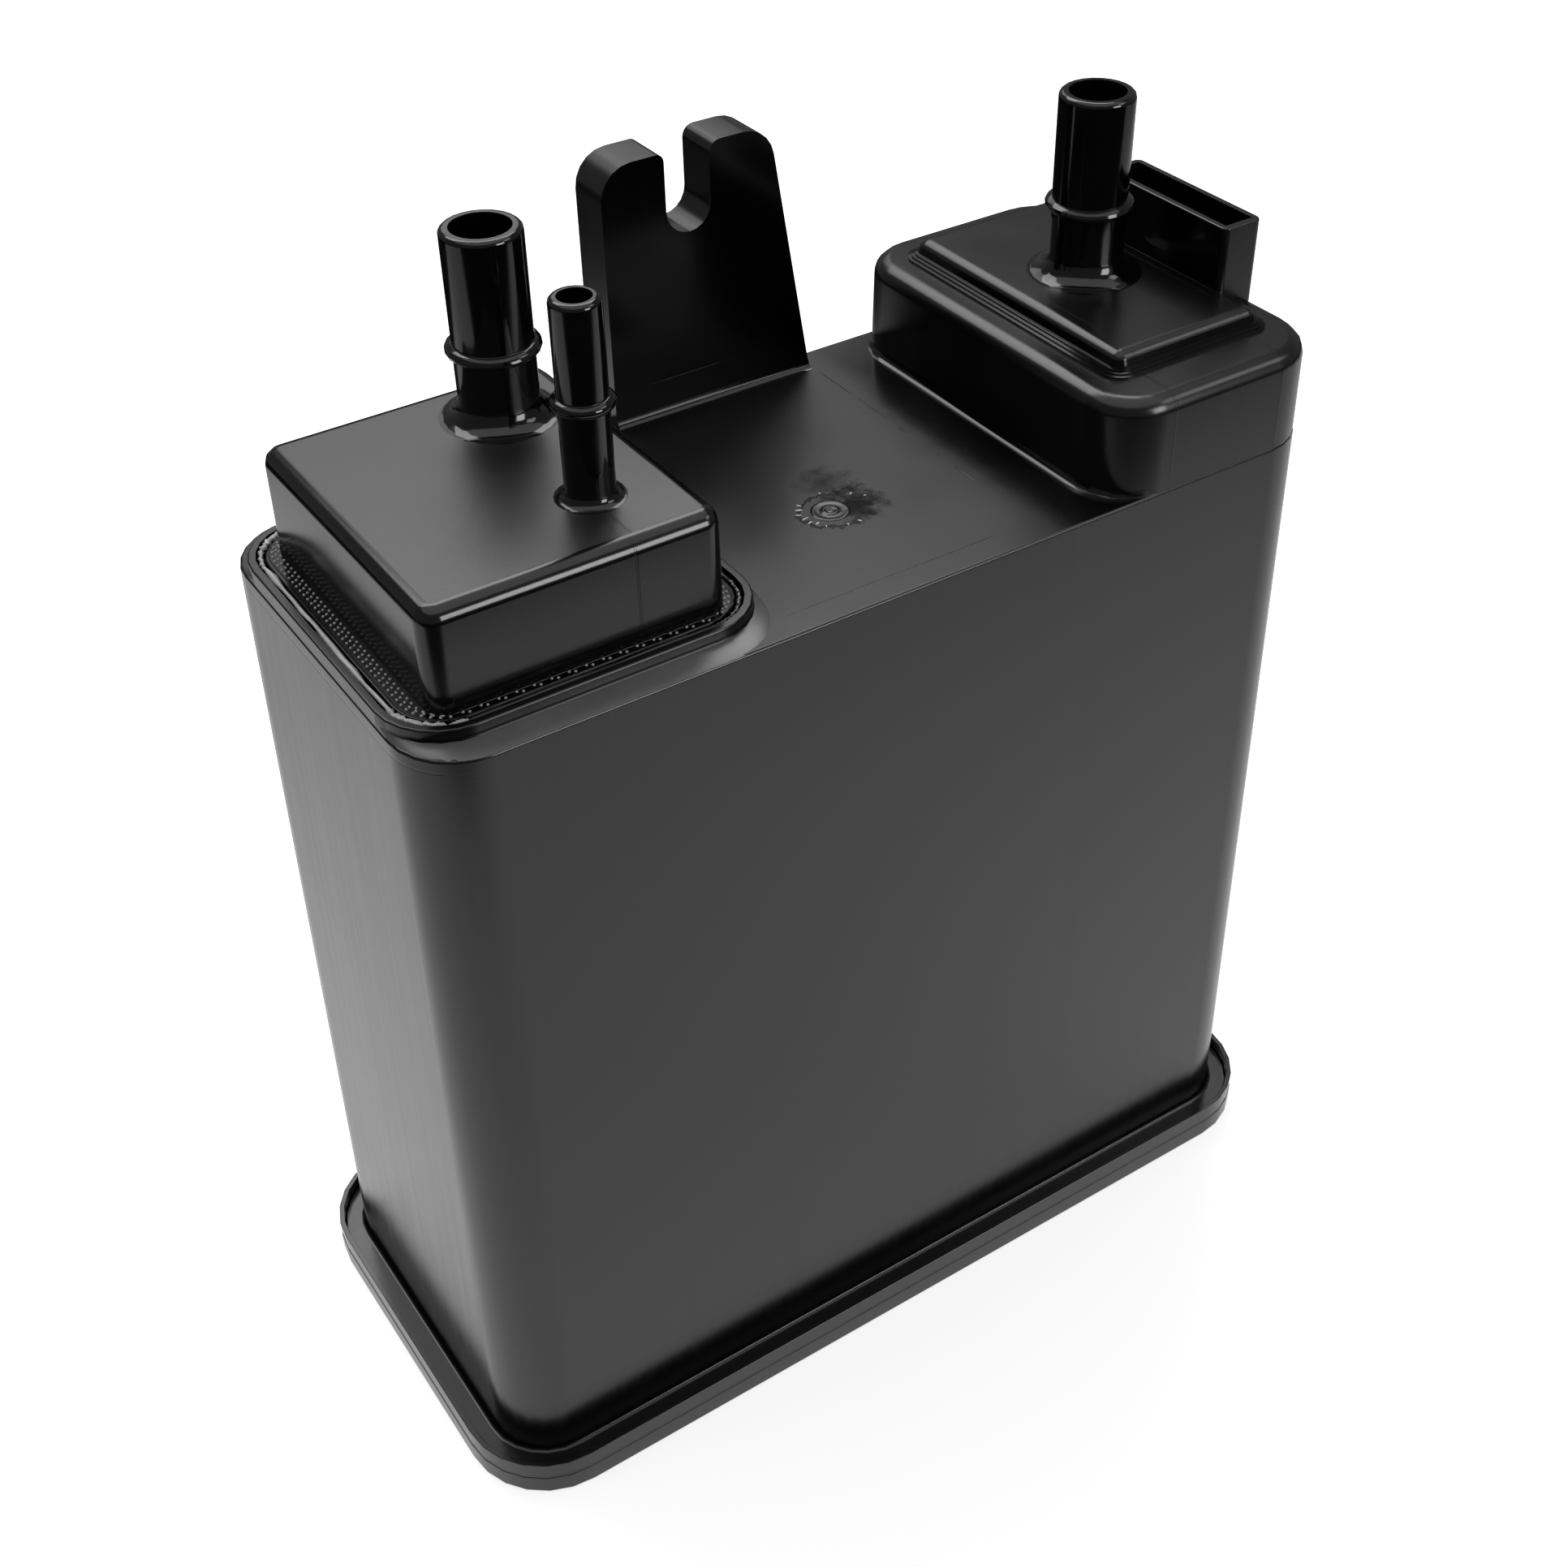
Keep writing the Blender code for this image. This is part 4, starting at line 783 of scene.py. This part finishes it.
def row_points(low, high, radius, pitch, shift):
    """Points along a rounded rectangle, one every pitch, with the outward direction of each."""
    corners = [(high[0] - radius, high[1] - radius, 0), (low[0] + radius, high[1] - radius, 90),
               (low[0] + radius, low[1] + radius, 180), (high[0] - radius, low[1] + radius, 270)]
    path = []
    for x, y, start in corners:
        for step in range(0, 91, CORNER_TURN):
            turn = math.radians(start + step)
            path.append((x + radius * math.cos(turn), y + radius * math.sin(turn), turn))
    path.append(path[0])
    points, left = [], shift
    for (x0, y0, turn), (x1, y1, _) in zip(path, path[1:]):
        length = math.hypot(x1 - x0, y1 - y0)
        while left < length:
            share = left / length
            points.append((x0 + (x1 - x0) * share, y0 + (y1 - y0) * share, turn))
            left += pitch
        left -= length
    return points


# %% Stand the studs on the flange
STUD_RADIUS, STUD_SQUASH, STUD_SUNK = 0.31, 0.9, 0.05
FLANGE_LOW, FLANGE_HIGH, FLANGE_CORNER, FLANGE_TOP = (-100.88, -37.28), (-31.68, 37.28), 10.1, 207.0
# Each row: how far inside the flange's edge it runs at the sides and at the ends, its pitch and its first stud
ROWS = [(1.60, 0.95, 1.75, 0.0), (2.45, 1.45, 1.75, 0.88), (3.30, 1.45, 1.75, 0.0)]
INNER_ROW = 3.0                                  # a row past this inset has no studs along the front and back

bpy.ops.object.select_all(action="DESELECT")
bpy.ops.mesh.primitive_uv_sphere_add(segments=8, ring_count=6, radius=STUD_RADIUS * MM, location=(0, 0, 0))
stud = bpy.context.object
stud.scale = (1, 1, STUD_SQUASH)
settle(stud, "stud")
bpy.ops.object.mode_set(mode="EDIT")
bpy.ops.mesh.select_all(action="SELECT")
bpy.ops.mesh.bisect(plane_co=(0, 0, -STUD_SUNK * MM), plane_no=(0, 0, 1), clear_inner=True, use_fill=True)
bpy.ops.object.mode_set(mode="OBJECT")
bpy.ops.object.shade_smooth()

studs = []
for side, end, pitch, shift in ROWS:
    low, high = (FLANGE_LOW[0] + side, FLANGE_LOW[1] + end), (FLANGE_HIGH[0] - side, FLANGE_HIGH[1] - end)
    for x, y, turn in row_points(low, high, FLANGE_CORNER - side, pitch, shift):
        along_front_or_back = abs(math.sin(turn)) > 0.9
        if along_front_or_back and (side > INNER_ROW or round(x / pitch) % 2):
            continue
        copy = stud.copy()
        copy.data = stud.data.copy()
        copy.data.transform(Matrix.Translation((x * MM, y * MM, FLANGE_TOP * MM)))
        bpy.context.collection.objects.link(copy)
        studs.append(copy)
stud_count = len(studs)
knurl = joined(studs, "flange_knurl")
bpy.data.objects.remove(stud)
# The studs' pale grey is a painted highlight.
knurl.data.materials.append(stud_painted_highlight)
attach(knurl, "root")
print("studs:", stud_count, "faces:", faces_of(knurl))

# %% [markdown]
# ## The gate scar
# The melt entered the body through a pin gate in the middle of the deck. Where it was torn off, a small nub with rings
# is left in a shallow crater. It could be turned on a spindle from one profile, but pulling rings is the shorter way: a
# disc is given rings one by one, each pulled out to its radius and lifted to its height, and the last one goes down
# into the deck, so that no edge shows. Crumbs of torn skin lie round it, most of them in an arc on its left.

# %% Model the gate scar
GATE = Vector((1.3, -13.5, DECK))
NUB_RADIUS, NUB_HEIGHT, SAME_RING = 0.12, 0.22, 0.01
# Each ring: its radius and its height over the deck
SCAR_RINGS = [(0.35, 0.22), (0.55, 0.10), (0.85, 0.07), (1.10, 0.24), (1.45, 0.30), (1.75, 0.14), (2.05, 0.03),
              (2.90, 0.02), (3.25, 0.14), (3.60, 0.16), (4.00, 0.04), (4.30, -0.30)]
bpy.ops.object.select_all(action="DESELECT")
bpy.ops.mesh.primitive_circle_add(vertices=48, radius=NUB_RADIUS * MM, fill_type="NGON",
                                  location=(GATE + Vector((0, 0, NUB_HEIGHT))) * MM)
scar = settle(bpy.context.object, "gate_scar")


def outer_ring_of(piece, middle):
    """Selects the edges of a disc's outermost ring, and gives its radius and height."""
    bpy.ops.object.mode_set(mode="OBJECT")
    reaches = [(v.co.xy - middle.xy * MM).length for v in piece.data.vertices]
    far = max(reaches)
    outer = [reach > far - SAME_RING * MM for reach in reaches]
    for part in (*piece.data.vertices, *piece.data.polygons):
        part.select = False
    for edge in piece.data.edges:
        edge.select = all(outer[index] for index in edge.vertices)
    bpy.ops.object.mode_set(mode="EDIT")
    return far, piece.data.vertices[outer.index(True)].co.z


bpy.ops.object.mode_set(mode="EDIT")
bpy.ops.mesh.select_mode(type="EDGE")
for reach, height in SCAR_RINGS:
    far, level = outer_ring_of(scar, GATE)
    bpy.ops.mesh.extrude_edges_move(TRANSFORM_OT_translate={"value": (0, 0, (GATE.z + height) * MM - level)})
    bpy.ops.transform.resize(value=(reach * MM / far, reach * MM / far, 1),
                             center_override=(GATE.x * MM, GATE.y * MM, level))
bpy.ops.mesh.edge_face_add()
bpy.ops.mesh.select_all(action="SELECT")
bpy.ops.mesh.normals_make_consistent(inside=False)
bpy.ops.object.mode_set(mode="OBJECT")
clouds(scar, 0.9, 0.14, "torn_plastic")
apply_modifiers(scar)
bpy.ops.object.shade_smooth()
scar.data.materials.append(deck_gloss)
print("gate scar faces:", faces_of(scar))

# %% Crumbs of torn skin round the scar
# Each crumb: its angle round the gate, its distance and its length
CRUMBS = [(128, 6.6, 1.3), (143, 6.3, 1.7), (160, 6.5, 1.5), (176, 5.8, 1.9), (193, 5.9, 1.4), (207, 5.3, 1.2),
          (228, 5.8, 0.8), (271, 6.2, 0.7), (294, 6.9, 1.0), (24, 7.9, 0.9), (6, 9.2, 0.7), (73, 7.2, 0.6)]
CRUMB_RADIUS, CRUMB_HEIGHT, CRUMB_WIDTH, WIDTH_SWING, TURN_SWING = 0.5, 0.30, 0.36, 0.1, 0.3
crumbs = []
for count, (angle, reach, length) in enumerate(CRUMBS):
    turn = math.radians(angle)
    place = GATE + Vector((reach * math.cos(turn), reach * math.sin(turn), 0.0))
    bpy.ops.object.select_all(action="DESELECT")
    bpy.ops.mesh.primitive_uv_sphere_add(segments=8, ring_count=5, radius=CRUMB_RADIUS * MM, location=place * MM,
                                         rotation=(0, 0, turn + TURN_SWING * math.sin(count * 2.4)))
    crumb = bpy.context.object
    crumb.scale = (length, CRUMB_WIDTH + WIDTH_SWING * math.sin(count * 1.7), CRUMB_HEIGHT)
    crumbs.append(settle(crumb, "crumb"))
crumbs = joined(crumbs, "crumbs")
clouds(crumbs, 0.7, 0.16, "crumb_lumps")
apply_modifiers(crumbs)
scar = joined([scar, crumbs], "gate_scar")
bpy.ops.object.shade_smooth()
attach(scar, "root")
print("scar and crumbs, faces:", faces_of(scar))

# %% [markdown]
# ## The seam of the mould insert
# A broken line runs beside the dome and another along the front edge, like the hair of plastic that the gap round a
# mould insert leaves. A bump would do from far away, but a hair that stands up catches the light from every side. Each
# stretch is a long sliver that thins out at both ends and is half sunk in the deck.

# %% Slivers along the seam
# Each sliver: its place on the deck and half its width along X and Y
SLIVERS = [(32.6, 30.0, 0.16, 7.2), (32.6, 15.6, 0.16, 6.4), (32.4, 4.5, 0.13, 1.6), (32.3, -8.8, 0.13, 1.3),
           (32.0, -17.8, 0.16, 4.3), (-2.0, -39.5, 25.0, 0.17)]
SLIVER_HEIGHT = 0.13
slivers = []
for x, y, half_x, half_y in SLIVERS:
    bpy.ops.object.select_all(action="DESELECT")
    bpy.ops.mesh.primitive_uv_sphere_add(segments=12, ring_count=8, radius=MM, location=(x * MM, y * MM, DECK * MM))
    sliver = bpy.context.object
    sliver.scale = (half_x, half_y, SLIVER_HEIGHT)
    slivers.append(settle(sliver, "sliver"))
seam = joined(slivers, "insert_seam")
clouds(seam, 1.5, 0.06, "seam_lumps")
apply_modifiers(seam)
bpy.ops.object.shade_smooth()
seam.data.materials.append(deck_gloss)
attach(seam, "root")
print("seam slivers:", len(SLIVERS), "faces:", faces_of(seam))

# %% [markdown]
# ## What is inside
# The beds of carbon, the foam pads, the grids and the springs are sealed in, and only a bore gives a glimpse of them.
# They could be left grey, yet each keeps its own finish, for whoever opens the canister up. Carbon is crushed pellets,
# so a cell pattern drives both its height and its shade. Foam is open cells. The grids are matt nylon, and the springs
# bright drawn wire.

# %% Packed cells
packed_cells, nodes, links, given, out = new_group(
    "packed_cells", [("Vector", "Vector", (0, 0, 0)), ("Cell Scale", "Float", 500.0), ("Fine Scale", "Float", 2000.0)],
    ["Cells", "Fine"])
cells = nodes.new("ShaderNodeTexVoronoi")
links.new(given["Vector"], cells.inputs["Vector"])
links.new(given["Cell Scale"], cells.inputs["Scale"])
links.new(cells.outputs["Distance"], out["Cells"])
links.new(noise_node(nodes, links, given["Vector"], given["Fine Scale"]), out["Fine"])
print("cell group:", [socket.name for socket in packed_cells.interface.items_tree])

# %% Finishes of the inner parts
CELL_CONTRAST, CELL_RELIEF, ROUGH_SPREAD = 1.4, 0.8, 0.15


def cell_finish(name, dark, light, scale, depth, rough):
    """A grainy finish from a cell pattern: pellets, or the cells of foam."""
    material, nodes, links, shader = new_material(name)
    cells = nodes.new("ShaderNodeGroup")
    cells.node_tree = packed_cells
    links.new(nodes.new("ShaderNodeTexCoord").outputs["Object"], cells.inputs["Vector"])
    cells.inputs["Cell Scale"].default_value, cells.inputs["Fine Scale"].default_value = scale, scale * 4
    tint = nodes.new("ShaderNodeMix")
    tint.data_type = "RGBA"
    tint.inputs["A"].default_value, tint.inputs["B"].default_value = (*light, 1), (*dark, 1)
    contrast = math_node(nodes, "MULTIPLY", cells.outputs["Cells"], CELL_CONTRAST, links, clamp=True)
    links.new(contrast, tint.inputs["Factor"])
    links.new(tint.outputs["Result"], shader.inputs["Base Color"])
    fine = math_node(nodes, "MULTIPLY", cells.outputs["Fine"], ROUGH_SPREAD, links)
    links.new(math_node(nodes, "ADD", fine, rough, links), shader.inputs["Roughness"])
    bump = nodes.new("ShaderNodeBump")
    bump.invert = True
    bump.inputs["Strength"].default_value = CELL_RELIEF
    bump.inputs["Distance"].default_value = depth * MM
    links.new(cells.outputs["Cells"], bump.inputs["Height"])
    links.new(bump.outputs["Normal"], shader.inputs["Normal"])
    return material


carbon_pellets = cell_finish("carbon_pellets", (0.006, 0.006, 0.006), (0.022, 0.022, 0.023), 420, 1.2, 0.6)
foam_cells = cell_finish("foam_cells", (0.09, 0.09, 0.085), (0.26, 0.26, 0.25), 900, 0.6, 0.8)
grid_nylon = nylon("grid_nylon", 0.09, 0.5, grain=(1100, 0.01), patches=(50, 0.06))
spring_wire = nylon("spring_wire", 0.5, 0.3, grain=(2600, 0.004), patches=(400, 0.1))
spring_wire.node_tree.nodes["Principled BSDF"].inputs["Metallic"].default_value = 1.0

# Each kind of inner part, by how its solid's name starts
INNER_FINISH = {"carbon": carbon_pellets, "top_pad": foam_cells, "bottom_pad": foam_cells, "pressure": grid_nylon,
                "top_grid": grid_nylon, "spring": spring_wire}
for name, node in frame["nodes"].items():
    for start, material in INNER_FINISH.items():
        if name.startswith(start):
            node.data.materials.clear()
            node.data.materials.append(material)
print("inner parts:", len(frame["nodes"]) - 3)

# %% [markdown]
# ## The box of the dressed model
# Flash or studs that reach past the imported solids would no longer fit where the part goes. So the last cell prints
# the box of the dressed model.

# %% Print the box of the dressed model
low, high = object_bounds()
print("visual box:", [round(v / MM, 2) for v in (*low, *high)])
